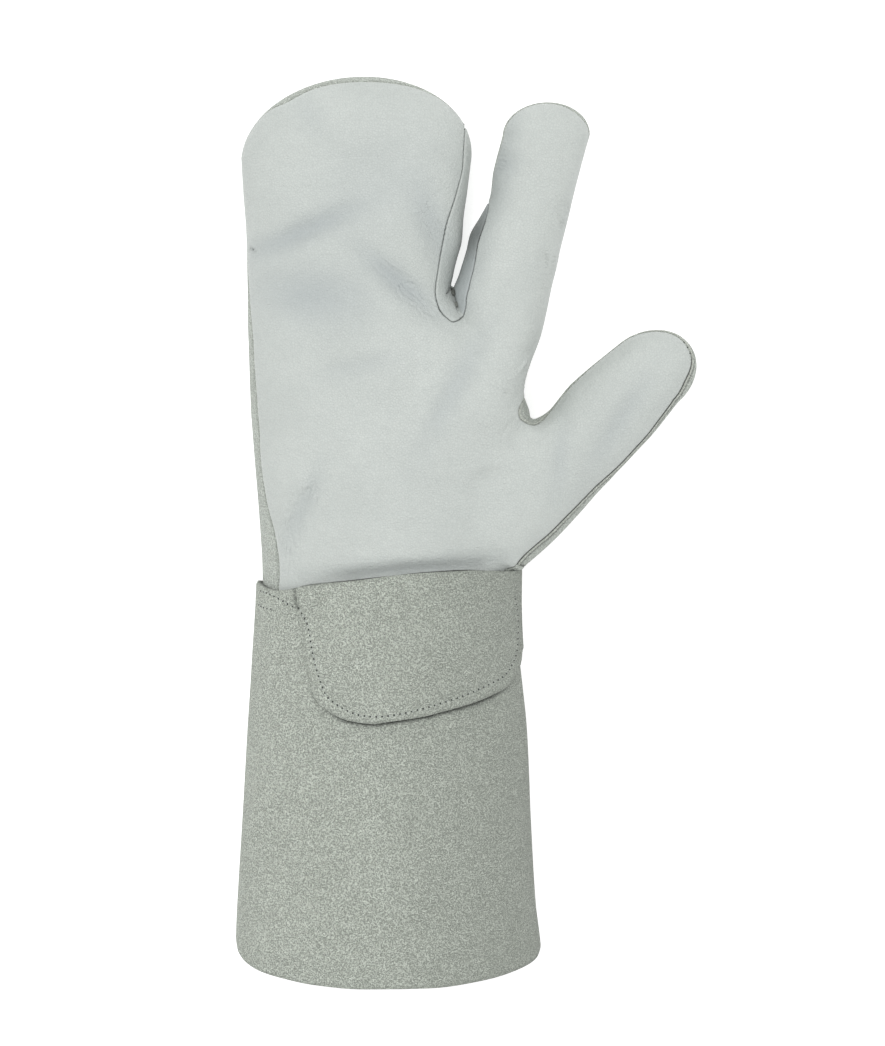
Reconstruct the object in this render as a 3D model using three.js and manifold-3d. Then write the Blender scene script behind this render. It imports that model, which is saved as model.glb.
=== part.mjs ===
// Three-finger welding mitt: a leather glove with one pocket for three fingers, an index finger,
// a thumb and a long split-leather cuff. It lies on its back, palm up, with its fingertips
// towards +Y and its thumb towards +X. Sizes are in millimetres.

import * as THREE from 'three';
import { mergeVertices } from 'three/addons/utils/BufferGeometryUtils.js';
import Module from 'manifold-3d';

const wasm = await Module();
wasm.setup();

const radians = THREE.MathUtils.degToRad;

// Driving sizes
const WALL = 1.6; // thickness of every leather
const GAP = 0.3; // space left between two pieces that meet
const CROWN = 2.3; // roundness of a section above its widest height: 2 is an ellipse
const FLAT = 2.7; // the same below its widest height, where the leather lies on the ground
const THUMB_ANGLE = radians(-44); // the thumb's lean from the other fingers
const THUMB_ROOT = new THREE.Vector3(20.7, 11.3, 0); // where the thumb's own sections are measured from
const WELT_THICK = 1.3; // the strip sewn between the palm and the back of the thumb
const WELT_PROUD = 0.7; // how far the strip stands out of the seam
const HAND_HEM = -28; // the hand's leather ends here, inside the cuff
const CENTRE_SHIFT = new THREE.Vector3(0.1, -2, 0); // puts the origin under the middle of the glove

// Fineness of the faceted surfaces. spacing: distance between rings; sides: corners of a ring.
const HAND_FACETS = { spacing: 11, sides: 32 };
const FINGER_FACETS = { spacing: 12, sides: 18 };
const TIP_RINGS = 5;
const CUFF_FACETS = { round: 36, long: 7 };
const PATCH_FACETS = { round: 14, long: 5 };
const SEAM_FACETS = { across: 18, along: 22 };

// Sections. at: distance along the tube; left, right: its sides; top, mid, bottom: the heights of
// its crown, its widest line and its underside. An underside below 0 is pressed flat at 0.
const HAND = [
  { at: -34, left: -78.5, right: 17.7, top: 50.0, mid: 25.0, bottom: 2.3 },
  { at: -14, left: -78.3, right: 17.9, top: 49.5, mid: 24.0, bottom: 2.3 },
  { at: 5, left: -79.4, right: 19.4, top: 48.5, mid: 22.0, bottom: -0.8 },
  { at: 30, left: -81.3, right: 21.5, top: 47.5, mid: 21.0, bottom: -1.5 },
  { at: 45, left: -82.4, right: 23.4, top: 46.4, mid: 20.5, bottom: -1.5 },
  { at: 56, left: -82.8, right: 22.0, top: 45.6, mid: 20.0, bottom: -1.5 },
  { at: 70, left: -83.2, right: 20.5, top: 44.0, mid: 19.5, bottom: -1.5 },
  { at: 80, left: -83.5, right: 12.0, top: 42.5, mid: 19.0, bottom: -1.5 },
  { at: 88, left: -83.5, right: 0.5, top: 41.5, mid: 19.0, bottom: -1.5 },
  { at: 98, left: -83.6, right: -4.6, top: 40.5, mid: 18.5, bottom: -1.5 },
  { at: 115, left: -84.0, right: -0.8, top: 38.5, mid: 18.0, bottom: -1.2 },
  { at: 128, left: -84.9, right: 0.2, top: 37.0, mid: 17.5, bottom: -0.6 },
  { at: 143, left: -85.7, right: 2.2, top: 34.5, mid: 17.5, bottom: 1.5 },
];
const INDEX = [
  { at: 34, left: 0.0, right: 17.0, top: 36.0, mid: 20.0, bottom: 6.0 },
  { at: 52, left: -4.0, right: 21.9, top: 42.5, mid: 19.5, bottom: 1.5 },
  { at: 64, left: -4.6, right: 25.0, top: 42.0, mid: 19.0, bottom: 0.6 },
  { at: 75, left: -4.8, right: 28.8, top: 41.0, mid: 19.0, bottom: 0.5 },
  { at: 86, left: -4.9, right: 31.4, top: 39.5, mid: 18.8, bottom: 0.6 },
  { at: 97, left: -4.0, right: 33.7, top: 37.5, mid: 18.5, bottom: 1.2 },
  { at: 109, left: -0.3, right: 36.4, top: 35.5, mid: 18.2, bottom: 2.0 },
  { at: 120, left: 4.4, right: 39.1, top: 34.0, mid: 18.0, bottom: 3.0 },
  { at: 128, left: 8.5, right: 41.0, top: 33.3, mid: 18.0, bottom: 3.7 },
  { at: 138, left: 10.6, right: 43.5, top: 32.5, mid: 18.0, bottom: 4.5 },
  { at: 152, left: 14.2, right: 47.3, top: 31.0, mid: 18.0, bottom: 6.0 },
];
const THUMB = [
  { at: -27, left: -6.0, right: 5.0, top: 31.0, mid: 21.0, bottom: 11.0 },
  { at: -19.5, left: -11.0, right: 14.3, top: 36.5, mid: 21.5, bottom: 6.8 },
  { at: -15.3, left: -13.5, right: 18.4, top: 39.0, mid: 21.5, bottom: 5.0 },
  { at: 0, left: -18.0, right: 19.9, top: 41.5, mid: 21.5, bottom: 3.5 },
  { at: 12, left: -19.5, right: 19.8, top: 41.0, mid: 21.0, bottom: 3.0 },
  { at: 25, left: -19.3, right: 19.2, top: 39.0, mid: 20.5, bottom: 3.5 },
  { at: 38, left: -17.5, right: 19.1, top: 36.5, mid: 20.0, bottom: 4.5 },
  { at: 55, left: -16.2, right: 18.8, top: 34.0, mid: 19.5, bottom: 5.5 },
  { at: 70, left: -14.4, right: 17.2, top: 32.0, mid: 19.5, bottom: 6.5 },
];
const CUFF = [
  { at: -12, left: -80.3, right: 20.0, top: 51.8, mid: 25.5, bottom: -1.0 },
  { at: -30, left: -81.2, right: 19.9, top: 52.5, mid: 26.0, bottom: -1.4 },
  { at: -46, left: -82.3, right: 20.7, top: 54.0, mid: 26.5, bottom: -1.5 },
  { at: -60, left: -83.2, right: 22.2, top: 55.2, mid: 27.0, bottom: -1.5 },
  { at: -74, left: -84.2, right: 23.7, top: 56.7, mid: 27.5, bottom: -1.5 },
  { at: -92, left: -85.3, right: 24.7, top: 58.5, mid: 28.3, bottom: -1.5 },
  { at: -110, left: -86.4, right: 25.4, top: 60.5, mid: 29.0, bottom: -1.5 },
  { at: -144, left: -88.6, right: 27.4, top: 64.5, mid: 31.0, bottom: -1.5 },
  { at: -160, left: -89.3, right: 29.3, top: 66.5, mid: 32.0, bottom: -1.5 },
  { at: -172, left: -89.0, right: 30.0, top: 67.0, mid: 32.0, bottom: -1.5 },
];

// Rounded ends of the three closed tubes. length: from the last section to the tip; drift: how far
// the tip lies to the right of that section's middle; taper: how soon the thickness falls.
const HAND_TIP = { length: 31.1, drift: 3.0, taper: 1.1 };
const INDEX_TIP = { length: 12.4, drift: 0.5, taper: 0.95 };
const THUMB_TIP = { length: 19.2, drift: 1.7, taper: 0.95 };

// Soft dents in the palm side. turn: direction of the dent from +X, in degrees; half_length and
// half_width: where it has faded to about a third; depth: below the smooth leather.
const DENTS = [
  { x: -58, y: 114, turn: 24, half_length: 24, half_width: 6, depth: 2.0 },
  { x: -14, y: 112, turn: -62, half_length: 18, half_width: 6, depth: 1.8 },
  { x: -17, y: 93, turn: -42, half_length: 13, half_width: 5, depth: 1.9 },
  { x: -50, y: 84, turn: -4, half_length: 24, half_width: 9, depth: 1.6 },
  { x: 12, y: 57, turn: 62, half_length: 12, half_width: 6, depth: 1.6 },
  { x: -62, y: 2, turn: 68, half_length: 15, half_width: 5, depth: 1.3 },
  { x: 44, y: 24, turn: 46, half_length: 22, half_width: 6, depth: 1.4 },
  { x: -20, y: -9, turn: 4, half_length: 34, half_width: 6, depth: 1.8 },
];
const DENT_HEIGHTS = { none: 18, full: 26 }; // leather below the first takes no dent

// The seam between the palm side and the back, at posts round the outline of the hand.
const SEAM_POSTS = [
  { x: -72.2, y: -24, z: 39.0 },
  { x: -71.6, y: -12, z: 38.9 },
  { x: -72.4, y: -5.3, z: 37.9 },
  { x: -73.5, y: 1.7, z: 36.6 },
  { x: -75.6, y: 9.5, z: 34.4 },
  { x: -77.2, y: 18, z: 32.6 },
  { x: -78.4, y: 29, z: 31.4 },
  { x: -79.3, y: 43, z: 31.0 },
  { x: -80.8, y: 66.5, z: 28.6 },
  { x: -82.6, y: 89.5, z: 25.0 },
  { x: -84, y: 107, z: 20.5 },
  { x: -85, y: 125, z: 18.0 },
  { x: -82, y: 148, z: 18.5 },
  { x: -77, y: 159, z: 19.0 },
  { x: -69, y: 165, z: 23.8 },
  { x: -60, y: 169, z: 22.6 },
  { x: -46, y: 172.3, z: 22.4 },
  { x: -26, y: 171.6, z: 22.0 },
  { x: -12, y: 167, z: 20.0 },
  { x: -4, y: 160, z: 18.0 },
  { x: 0, y: 148, z: 17.5 },
  { x: -4, y: 112, z: 17.5 },
  { x: 8, y: 132, z: 19.5 },
  { x: 12, y: 147, z: 20.5 },
  { x: 17, y: 158, z: 21.4 },
  { x: 26, y: 163.7, z: 20.6 },
  { x: 36, y: 163.5, z: 21.8 },
  { x: 43.5, y: 158.8, z: 23.4 },
  { x: 46, y: 151, z: 20.0 },
  { x: 43, y: 135, z: 16.5 },
  { x: 34, y: 100, z: 15.0 },
  { x: 27, y: 72, z: 15.0 },
  { x: 23.8, y: 58.5, z: 17.0 },
  { x: 22.5, y: 54.5, z: 28.0 },
  { x: 21.6, y: 51.8, z: 36.0 },
  { x: 18.8, y: 48, z: 39.6 },
  { x: 19.6, y: 44.6, z: 37.4 },
  { x: 24.9, y: 41.9, z: 33.0 },
  { x: 30, y: 44.4, z: 29.8 },
  { x: 35, y: 50, z: 25.6 },
  { x: 41, y: 56.3, z: 21.6 },
  { x: 50, y: 65, z: 19.5 },
  { x: 62, y: 73, z: 20.5 },
  { x: 70.6, y: 76.5, z: 22.6 },
  { x: 79.5, y: 75.8, z: 21.8 },
  { x: 84.4, y: 71.8, z: 23.4 },
  { x: 86.2, y: 66.6, z: 25.2 },
  { x: 84.2, y: 60.2, z: 28.0 },
  { x: 79.8, y: 51.4, z: 27.4 },
  { x: 74.2, y: 44.5, z: 27.4 },
  { x: 66.6, y: 35, z: 27.6 },
  { x: 59, y: 26.6, z: 28.4 },
  { x: 52.6, y: 20.8, z: 30.4 },
  { x: 41.8, y: 10.4, z: 33.7 },
  { x: 30.4, y: 0, z: 35.9 },
  { x: 20.6, y: -9.8, z: 35.8 },
  { x: 17.6, y: -13.5, z: 34.0 },
  { x: 16, y: -26, z: 36.0 },
];
const SEAM_STEPS = 4; // points of the seam's curve to each post
const SEAM_SPREAD = 4; // how far a point of the curve is felt around it

// Outline of the gusset between the pocket and the index finger, seen from above. pocket_side and
// index_side: where its two seams run at that height along the glove.
const GUSSET = [
  { at: 83.0, pocket_side: -8.6, index_side: -2.0 },
  { at: 86.0, pocket_side: -10.4, index_side: -0.6 },
  { at: 91.0, pocket_side: -11.7, index_side: 0.3 },
  { at: 98.0, pocket_side: -11.0, index_side: 1.7 },
  { at: 106.0, pocket_side: -9.7, index_side: 3.5 },
  { at: 115.0, pocket_side: -7.9, index_side: 5.8 },
  { at: 124.0, pocket_side: -5.3, index_side: 7.6 },
  { at: 133.0, pocket_side: -2.8, index_side: 8.3 },
  { at: 142.0, pocket_side: -0.9, index_side: 8.3 },
  { at: 152.0, pocket_side: -0.3, index_side: 8.3 },
  { at: 160.0, pocket_side: 0.6, index_side: 8.3 },
];
const GUSSET_FOOT = { x: -5.3, y: 81.8 };
const GUSSET_HEAD = { left: 5, right: 8, y: 172 };

// Where the thumb's own back piece is sewn to the back of the hand, seen from above, and the far
// corner of the space that the thumb lies in.
const THUMB_SET_IN = [
  { x: 22, y: 62 },
  { x: 13, y: 50 },
  { x: 8, y: 36 },
  { x: 5, y: 20 },
  { x: 8, y: 4 },
  { x: 13, y: -6 },
  { x: 23, y: -13 },
];
const THUMB_CORNER = { x: 100, y: 90, notch: 40 };

// Upper edge of the cuff on the palm side, and the lower edge of the patch sewn on it.
const CUFF_EDGE = [
  { x: -81, y: -18.9 },
  { x: -71.5, y: -19.9 },
  { x: -59.3, y: -17.0 },
  { x: -41.5, y: -14.6 },
  { x: -20, y: -12.1 },
  { x: 0, y: -11.4 },
  { x: 12, y: -12.6 },
  { x: 22, y: -14.2 },
];
const CUFF_BACK_EDGE = { left: -22, right: -17.5 }; // the same edge on the back of the hand
const CUFF_EDGE_LEVEL = -17; // the place along the cuff where the width of its upper edge is measured
const HEM = { left: -158.8, right: -161.0, palm: -170, back: -166 }; // where the cuff ends
const PATCH_EDGE = [
  { x: -65, y: -45 },
  { x: -62, y: -54 },
  { x: -55.2, y: -61.7 },
  { x: -45.3, y: -66.1 },
  { x: -35.5, y: -67.5 },
  { x: -23.7, y: -65.8 },
  { x: -10, y: -62.5 },
  { x: 4, y: -59.9 },
  { x: 14, y: -57 },
  { x: 20, y: -52.6 },
  { x: 22, y: -46.3 },
];
const PATCH_LEVEL = -50; // the place along the cuff where the patch's width is measured
const PATCH_TURN = { left: radians(-40), right: radians(100) };
const PATCH_RISE = 1.0; // how fast its edge climbs where it turns round the side, for each degree
const PATCH_LIFT = 0.45; // space between the patch and the cuff under it

// The space that the cuts are made in
const SPACE = { west: -98, east: 98, south: -42, north: 188, floor: -5, ceiling: 90 };

// A smooth curve through one column of a table, at any place along it.
function column(table, key, name, place) {
  const last = table.length - 1;
  const rising = table[last][key] > table[0][key];
  const ahead = (row) => (rising ? row[key] > place : row[key] < place);
  const next = table.findIndex(ahead);
  const i = next < 0 ? last - 1 : Math.max(next - 1, 0);
  const [a, b] = [table[i], table[i + 1]];
  const span = b[key] - a[key];
  const t = THREE.MathUtils.clamp((place - a[key]) / span, 0, 1);
  const slope = (p, q) => (q[name] - p[name]) / (q[key] - p[key]);
  const enter = i > 0 ? slope(table[i - 1], b) : slope(a, b);
  const leave = i + 2 <= last ? slope(a, table[i + 2]) : slope(a, b);
  const t2 = t * t;
  const t3 = t2 * t;
  return (2 * t3 - 3 * t2 + 1) * a[name] + (t3 - 2 * t2 + t) * span * enter
    + (3 * t2 - 2 * t3) * b[name] + (t3 - t2) * span * leave;
}

function sectionAt(rows, at) {
  const section = { at };
  for (const name of ['left', 'right', 'top', 'mid', 'bottom']) {
    section[name] = column(rows, 'at', name, at);
  }
  return section;
}

// A section of a tube's rounded end, share of the way (0 to 1) to its tip.
function tipSection(rows, tip, share) {
  const end = rows[rows.length - 1];
  const swing = share * Math.PI / 2;
  const width = Math.cos(swing) * (end.right - end.left) / 2;
  const middle = (end.right + end.left) / 2 + tip.drift * Math.sin(swing);
  const thickness = Math.cos(swing) ** tip.taper;
  return {
    at: end.at + tip.length * Math.sin(swing),
    left: middle - width,
    right: middle + width,
    top: end.mid + (end.top - end.mid) * thickness,
    mid: end.mid,
    bottom: end.mid - (end.mid - end.bottom) * thickness,
  };
}

// A point of a section. turn: 0 at the crown, a quarter turn at the right side; inset: depth below
// the leather's outer face.
function sectionPoint(section, turn, inset) {
  const least = 0.05;
  const middle = (section.left + section.right) / 2;
  const half = Math.max((section.right - section.left) / 2 - inset, least);
  const side = Math.sin(turn);
  const rise = Math.cos(turn);
  const power = 2 / (rise >= 0 ? CROWN : FLAT);
  const reach = rise >= 0 ? section.top - section.mid : section.mid - section.bottom;
  const height = Math.max(reach - inset, least) * Math.abs(rise) ** power * Math.sign(rise);
  const x = middle + half * Math.abs(side) ** power * Math.sign(side);
  return new THREE.Vector3(x, section.at, Math.max(section.mid + height, inset));
}

function geometryFrom(points, triangles) {
  const geometry = new THREE.BufferGeometry().setFromPoints(points);
  geometry.setIndex(triangles);
  return geometry;
}

// A closed body over a list of rings of equal size, with a fan over each end ring.
function loft(rings) {
  const size = rings[0].length;
  const points = rings.flat();
  const triangles = [];
  for (let i = 0; i + 1 < rings.length; i++) {
    for (let j = 0; j < size; j++) {
      const [a, b] = [i * size + j, i * size + (j + 1) % size];
      triangles.push(a, b, b + size, a, b + size, a + size);
    }
  }
  const middle = (ring) => ring.reduce((sum, p) => sum.add(p), new THREE.Vector3()).divideScalar(size);
  const [first, last] = [points.length, points.length + 1];
  points.push(middle(rings[0]), middle(rings[rings.length - 1]));
  const start = (rings.length - 1) * size;
  for (let j = 0; j < size; j++) {
    const k = (j + 1) % size;
    triangles.push(first, k, j, last, start + j, start + k);
  }
  return geometryFrom(points, triangles);
}

// The sections of a tube: its table's rows, with others between them where they lie far apart.
function spacedSections(rows, spacing) {
  const sections = [sectionAt(rows, rows[0].at)];
  for (let i = 1; i < rows.length; i++) {
    const [from, to] = [rows[i - 1].at, rows[i].at];
    const count = Math.max(Math.round((to - from) / spacing), 1);
    for (let k = 1; k <= count; k++) {
      sections.push(sectionAt(rows, THREE.MathUtils.lerp(from, to, k / count)));
    }
  }
  return sections;
}

// One closed finger tube, inset by the leather's thickness for its hollow.
function tube(rows, tip, facets, inset) {
  const lastShare = 0.97;
  const sections = spacedSections(rows, facets.spacing);
  const shorter = { ...tip, length: tip.length - inset };
  for (let i = 1; i < TIP_RINGS; i++) sections.push(tipSection(rows, shorter, i / TIP_RINGS));
  sections.push(tipSection(rows, shorter, lastShare));
  const turns = Array.from({ length: facets.sides }, (_, j) => j / facets.sides * Math.PI * 2);
  return loft(sections.map((section) => turns.map((turn) => sectionPoint(section, turn, inset))));
}

function toSolid(geometry) {
  const bare = geometry.clone();
  bare.deleteAttribute('normal');
  bare.deleteAttribute('uv');
  const merged = mergeVertices(bare, 1e-4);
  return new wasm.Manifold(new wasm.Mesh({
    numProp: 3,
    vertProperties: new Float32Array(merged.attributes.position.array),
    triVerts: new Uint32Array(merged.index.array),
  }));
}

function toGeometry(solid) {
  const mesh = solid.getMesh();
  const geometry = new THREE.BufferGeometry();
  geometry.setAttribute('position', new THREE.BufferAttribute(mesh.vertProperties, 3));
  geometry.setIndex(new THREE.BufferAttribute(mesh.triVerts, 1));
  geometry.computeVertexNormals();
  return geometry;
}

// How far the dents lower the palm side at a place seen from above.
function dentDepth(x, y) {
  let sum = 0;
  for (const dent of DENTS) {
    const turn = radians(dent.turn);
    const along = (x - dent.x) * Math.cos(turn) + (y - dent.y) * Math.sin(turn);
    const across = (y - dent.y) * Math.cos(turn) - (x - dent.x) * Math.sin(turn);
    const distance = (along / dent.half_length) ** 2 + (across / dent.half_width) ** 2;
    sum += dent.depth * Math.exp(-distance);
  }
  return sum;
}

function pressDents(geometry) {
  const position = geometry.attributes.position;
  for (let i = 0; i < position.count; i++) {
    const z = position.getZ(i);
    const share = THREE.MathUtils.smoothstep(z, DENT_HEIGHTS.none, DENT_HEIGHTS.full);
    position.setZ(i, z - share * dentDepth(position.getX(i), position.getY(i)));
  }
  return geometry;
}

// The whole hand, fingers and all, as one body: its outside at inset 0, its hollow at WALL.
function handBody(inset) {
  const hand = tube(HAND, HAND_TIP, HAND_FACETS, inset);
  const index = tube(INDEX, INDEX_TIP, FINGER_FACETS, inset);
  const thumb = tube(THUMB, THUMB_TIP, FINGER_FACETS, inset);
  thumb.rotateZ(THUMB_ANGLE).translate(...THUMB_ROOT.toArray());
  const [first, ...others] = [hand, index, thumb].map((part) => toSolid(pressDents(part)));
  return others.reduce((body, part) => body.add(part), first);
}

// The curve that the seam follows round the hand, as a list of points.
function seamCurve() {
  const posts = SEAM_POSTS.map((post) => new THREE.Vector3(post.x, post.y, post.z));
  return new THREE.CatmullRomCurve3(posts, true).getPoints(SEAM_STEPS * posts.length);
}

// Height of the seam at any place seen from above: near the curve it is the curve's own height.
function seamHeight(curve, x, y) {
  let total = 0;
  let weights = 0;
  for (const point of curve) {
    const weight = 1 / ((x - point.x) ** 2 + (y - point.y) ** 2 + SEAM_SPREAD ** 2) ** 2;
    total += weight * point.z;
    weights += weight;
  }
  return total / weights;
}

// The block of space above the seam, raised by lift.
function spaceAboveSeam(lift) {
  const curve = seamCurve();
  const { across, along } = SEAM_FACETS;
  const points = [];
  for (const upper of [false, true]) {
    for (let i = 0; i <= along; i++) {
      for (let j = 0; j <= across; j++) {
        const x = THREE.MathUtils.lerp(SPACE.west, SPACE.east, j / across);
        const y = THREE.MathUtils.lerp(SPACE.south, SPACE.north, i / along);
        points.push(new THREE.Vector3(x, y, upper ? SPACE.ceiling : seamHeight(curve, x, y) + lift));
      }
    }
  }
  const wide = across + 1;
  const layer = (along + 1) * wide;
  const triangles = [];
  const quad = (a, b, c, d) => triangles.push(a, b, c, a, c, d);
  for (let i = 0; i < along; i++) {
    for (let j = 0; j < across; j++) {
      const a = i * wide + j;
      const [b, c, d] = [a + 1, a + wide + 1, a + wide];
      quad(a, d, c, b);
      quad(a + layer, b + layer, c + layer, d + layer);
      if (i === 0) quad(a, b, b + layer, a + layer);
      if (i === along - 1) quad(c, d, d + layer, c + layer);
      if (j === 0) quad(d, a, a + layer, d + layer);
      if (j === across - 1) quad(b, c, c + layer, b + layer);
    }
  }
  return toSolid(geometryFrom(points, triangles));
}

// An upright prism over an outline seen from above.
function prism(outline) {
  const depth = SPACE.ceiling - SPACE.floor;
  const geometry = new THREE.ExtrudeGeometry(new THREE.Shape(outline), { depth, bevelEnabled: false });
  return toSolid(geometry.translate(0, 0, SPACE.floor));
}

// Everything on the finger side of the line where the hand's leather ends.
function spaceOfHand() {
  const corner = (x, y) => new THREE.Vector2(x, y);
  const { west, east, north } = SPACE;
  return prism([corner(west, HAND_HEM), corner(east, HAND_HEM), corner(east, north), corner(west, north)]);
}

function gussetOutline(grow) {
  const pocket = GUSSET.map((row) => new THREE.Vector2(row.pocket_side - grow, row.at));
  const index = GUSSET.map((row) => new THREE.Vector2(row.index_side + grow, row.at));
  const foot = new THREE.Vector2(GUSSET_FOOT.x, GUSSET_FOOT.y - grow);
  const head = [GUSSET_HEAD.right, GUSSET_HEAD.left].map((x) => new THREE.Vector2(x, GUSSET_HEAD.y));
  return [foot, ...index, ...head, ...pocket.reverse()];
}

function thumbOutline(grow) {
  const edge = THUMB_SET_IN.map((p) => new THREE.Vector2(p.x - grow, p.y));
  const { x, y, notch } = THUMB_CORNER;
  return [...edge, new THREE.Vector2(x, edge.at(-1).y), new THREE.Vector2(x, y), new THREE.Vector2(notch, y)];
}

// A sheet wrapped round the cuff between two angles and two edges, each edge given by its place
// along the glove, from its outer to its inner face. A whole turn closes on itself.
function wrap({ from, to, round, long, outer, upperEdge, lowerEdge }) {
  const whole = to - from === Math.PI * 2;
  const wide = whole ? round : round + 1;
  const points = [];
  for (const inset of [outer, outer + WALL]) {
    for (let i = 0; i <= long; i++) {
      for (let j = 0; j < wide; j++) {
        const turn = from + (to - from) * j / round;
        const y = THREE.MathUtils.lerp(upperEdge(turn), lowerEdge(turn), i / long);
        points.push(sectionPoint(sectionAt(CUFF, y), turn, inset));
      }
    }
  }
  const layer = (long + 1) * wide;
  const triangles = [];
  const quad = (a, b, c, d) => triangles.push(a, b, c, a, c, d);
  for (let j = 0; j < round; j++) {
    const k = (j + 1) % wide;
    for (let i = 0; i < long; i++) {
      const [a, b, c, d] = [i * wide + j, i * wide + k, (i + 1) * wide + k, (i + 1) * wide + j];
      quad(a, d, c, b);
      quad(a + layer, b + layer, c + layer, d + layer);
    }
    quad(j, k, k + layer, j + layer);
    const end = long * wide;
    quad(end + k, end + j, end + j + layer, end + k + layer);
  }
  for (let i = 0; i < long && !whole; i++) {
    const [a, d] = [i * wide, (i + 1) * wide];
    quad(d, a, a + layer, d + layer);
    quad(a + round, d + round, d + round + layer, a + round + layer);
  }
  return geometryFrom(points, triangles);
}

// The place across the glove of a point of the cuff.
const cuffX = (turn, y) => sectionPoint(sectionAt(CUFF, y), turn, 0).x;

function cuffTop(turn) {
  const onPalm = { none: -0.35, full: 0 };
  const palmSide = column(CUFF_EDGE, 'x', 'y', cuffX(turn, CUFF_EDGE_LEVEL));
  const backSide = THREE.MathUtils.lerp(CUFF_BACK_EDGE.left, CUFF_BACK_EDGE.right, (Math.sin(turn) + 1) / 2);
  const share = THREE.MathUtils.smoothstep(Math.cos(turn), onPalm.none, onPalm.full);
  return THREE.MathUtils.lerp(backSide, palmSide, share);
}

function cuffHem(turn) {
  const rise = Math.cos(turn);
  const side = THREE.MathUtils.lerp(HEM.left, HEM.right, (Math.sin(turn) + 1) / 2);
  return THREE.MathUtils.lerp(side, rise > 0 ? HEM.palm : HEM.back, Math.abs(rise));
}

function patchHem(turn) {
  const pastSide = Math.max(THREE.MathUtils.radToDeg(turn) - 90, 0);
  return column(PATCH_EDGE, 'x', 'y', cuffX(turn, PATCH_LEVEL)) + pastSide * PATCH_RISE;
}

const LEATHERS = {
  grain: new THREE.MeshStandardMaterial({ color: 0xc9cfcc, roughness: 0.62, metalness: 0 }),
  split: new THREE.MeshStandardMaterial({ color: 0xb1b9ae, roughness: 0.95, metalness: 0 }),
  welt: new THREE.MeshStandardMaterial({ color: 0x9ba394, roughness: 0.95, metalness: 0 }),
};

const glove = new THREE.Group();
glove.position.copy(CENTRE_SHIFT);

function addPiece(name, geometry, leather) {
  const mesh = new THREE.Mesh(geometry, LEATHERS[leather]);
  mesh.name = name;
  glove.add(mesh);
}

// The hand's shell, cut along its seams into the palm side, the gusset, the back, the thumb's back
// and the strip in the thumb's seam.
function buildHand() {
  const handSpace = spaceOfHand();
  const outside = handBody(0).intersect(handSpace);
  const hollow = handBody(WALL);
  const shell = outside.subtract(hollow);
  const thumbSpace = prism(thumbOutline(0));
  const thumbClear = prism(thumbOutline(GAP));
  const gussetSpace = prism(gussetOutline(0));
  const gussetClear = prism(gussetOutline(GAP));
  const weltHalf = WELT_THICK / 2;

  const weltClear = thumbSpace.subtract(spaceAboveSeam(weltHalf + GAP));
  const palm = shell.intersect(spaceAboveSeam(GAP / 2)).subtract(gussetClear).subtract(weltClear);
  addPiece('palm', toGeometry(palm), 'grain');
  addPiece('finger_gusset', toGeometry(shell.intersect(gussetSpace)), 'grain');

  const back = shell.subtract(spaceAboveSeam(-GAP / 2)).subtract(gussetClear).subtract(thumbClear);
  addPiece('back', toGeometry(back), 'split');
  const thumbBack = shell.intersect(thumbSpace).subtract(spaceAboveSeam(-weltHalf - GAP));
  addPiece('thumb_back', toGeometry(thumbBack), 'split');

  const proudShell = handBody(-WELT_PROUD).intersect(handSpace).subtract(hollow);
  const seamLayer = spaceAboveSeam(-weltHalf).subtract(spaceAboveSeam(weltHalf));
  addPiece('thumb_welt', toGeometry(proudShell.intersect(thumbSpace).intersect(seamLayer)), 'welt');
}

function buildCuff() {
  const cuff = { from: -Math.PI, to: Math.PI, ...CUFF_FACETS, outer: 0 };
  addPiece('cuff', wrap({ ...cuff, upperEdge: cuffTop, lowerEdge: cuffHem }), 'split');
  const patch = { from: PATCH_TURN.left, to: PATCH_TURN.right, ...PATCH_FACETS, outer: -PATCH_LIFT - WALL };
  addPiece('wrist_patch', wrap({ ...patch, upperEdge: cuffTop, lowerEdge: patchHem }), 'split');
}

buildHand();
buildCuff();

export default glove;
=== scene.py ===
import itertools
import math

import bpy
import numpy as np
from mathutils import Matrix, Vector
from mathutils.bvhtree import BVHTree
from mathutils.kdtree import KDTree


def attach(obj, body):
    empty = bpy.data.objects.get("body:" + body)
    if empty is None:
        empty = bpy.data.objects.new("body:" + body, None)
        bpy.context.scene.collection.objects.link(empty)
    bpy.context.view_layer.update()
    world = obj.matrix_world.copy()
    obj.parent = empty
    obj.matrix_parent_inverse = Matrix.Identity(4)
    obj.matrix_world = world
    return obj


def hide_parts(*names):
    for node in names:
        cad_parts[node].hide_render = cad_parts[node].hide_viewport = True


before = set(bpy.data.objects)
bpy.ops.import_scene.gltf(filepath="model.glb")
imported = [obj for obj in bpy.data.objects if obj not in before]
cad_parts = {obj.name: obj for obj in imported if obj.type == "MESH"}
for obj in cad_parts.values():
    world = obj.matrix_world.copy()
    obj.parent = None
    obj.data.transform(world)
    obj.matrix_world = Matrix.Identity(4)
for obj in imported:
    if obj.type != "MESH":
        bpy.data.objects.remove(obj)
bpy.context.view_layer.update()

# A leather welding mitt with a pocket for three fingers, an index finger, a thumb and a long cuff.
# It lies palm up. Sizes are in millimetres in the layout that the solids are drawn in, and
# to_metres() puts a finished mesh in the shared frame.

METRES = 0.001
CENTRE_SHIFT = np.array([0.1, -2.0, 0.0])  # from the layout to the shared frame

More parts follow.
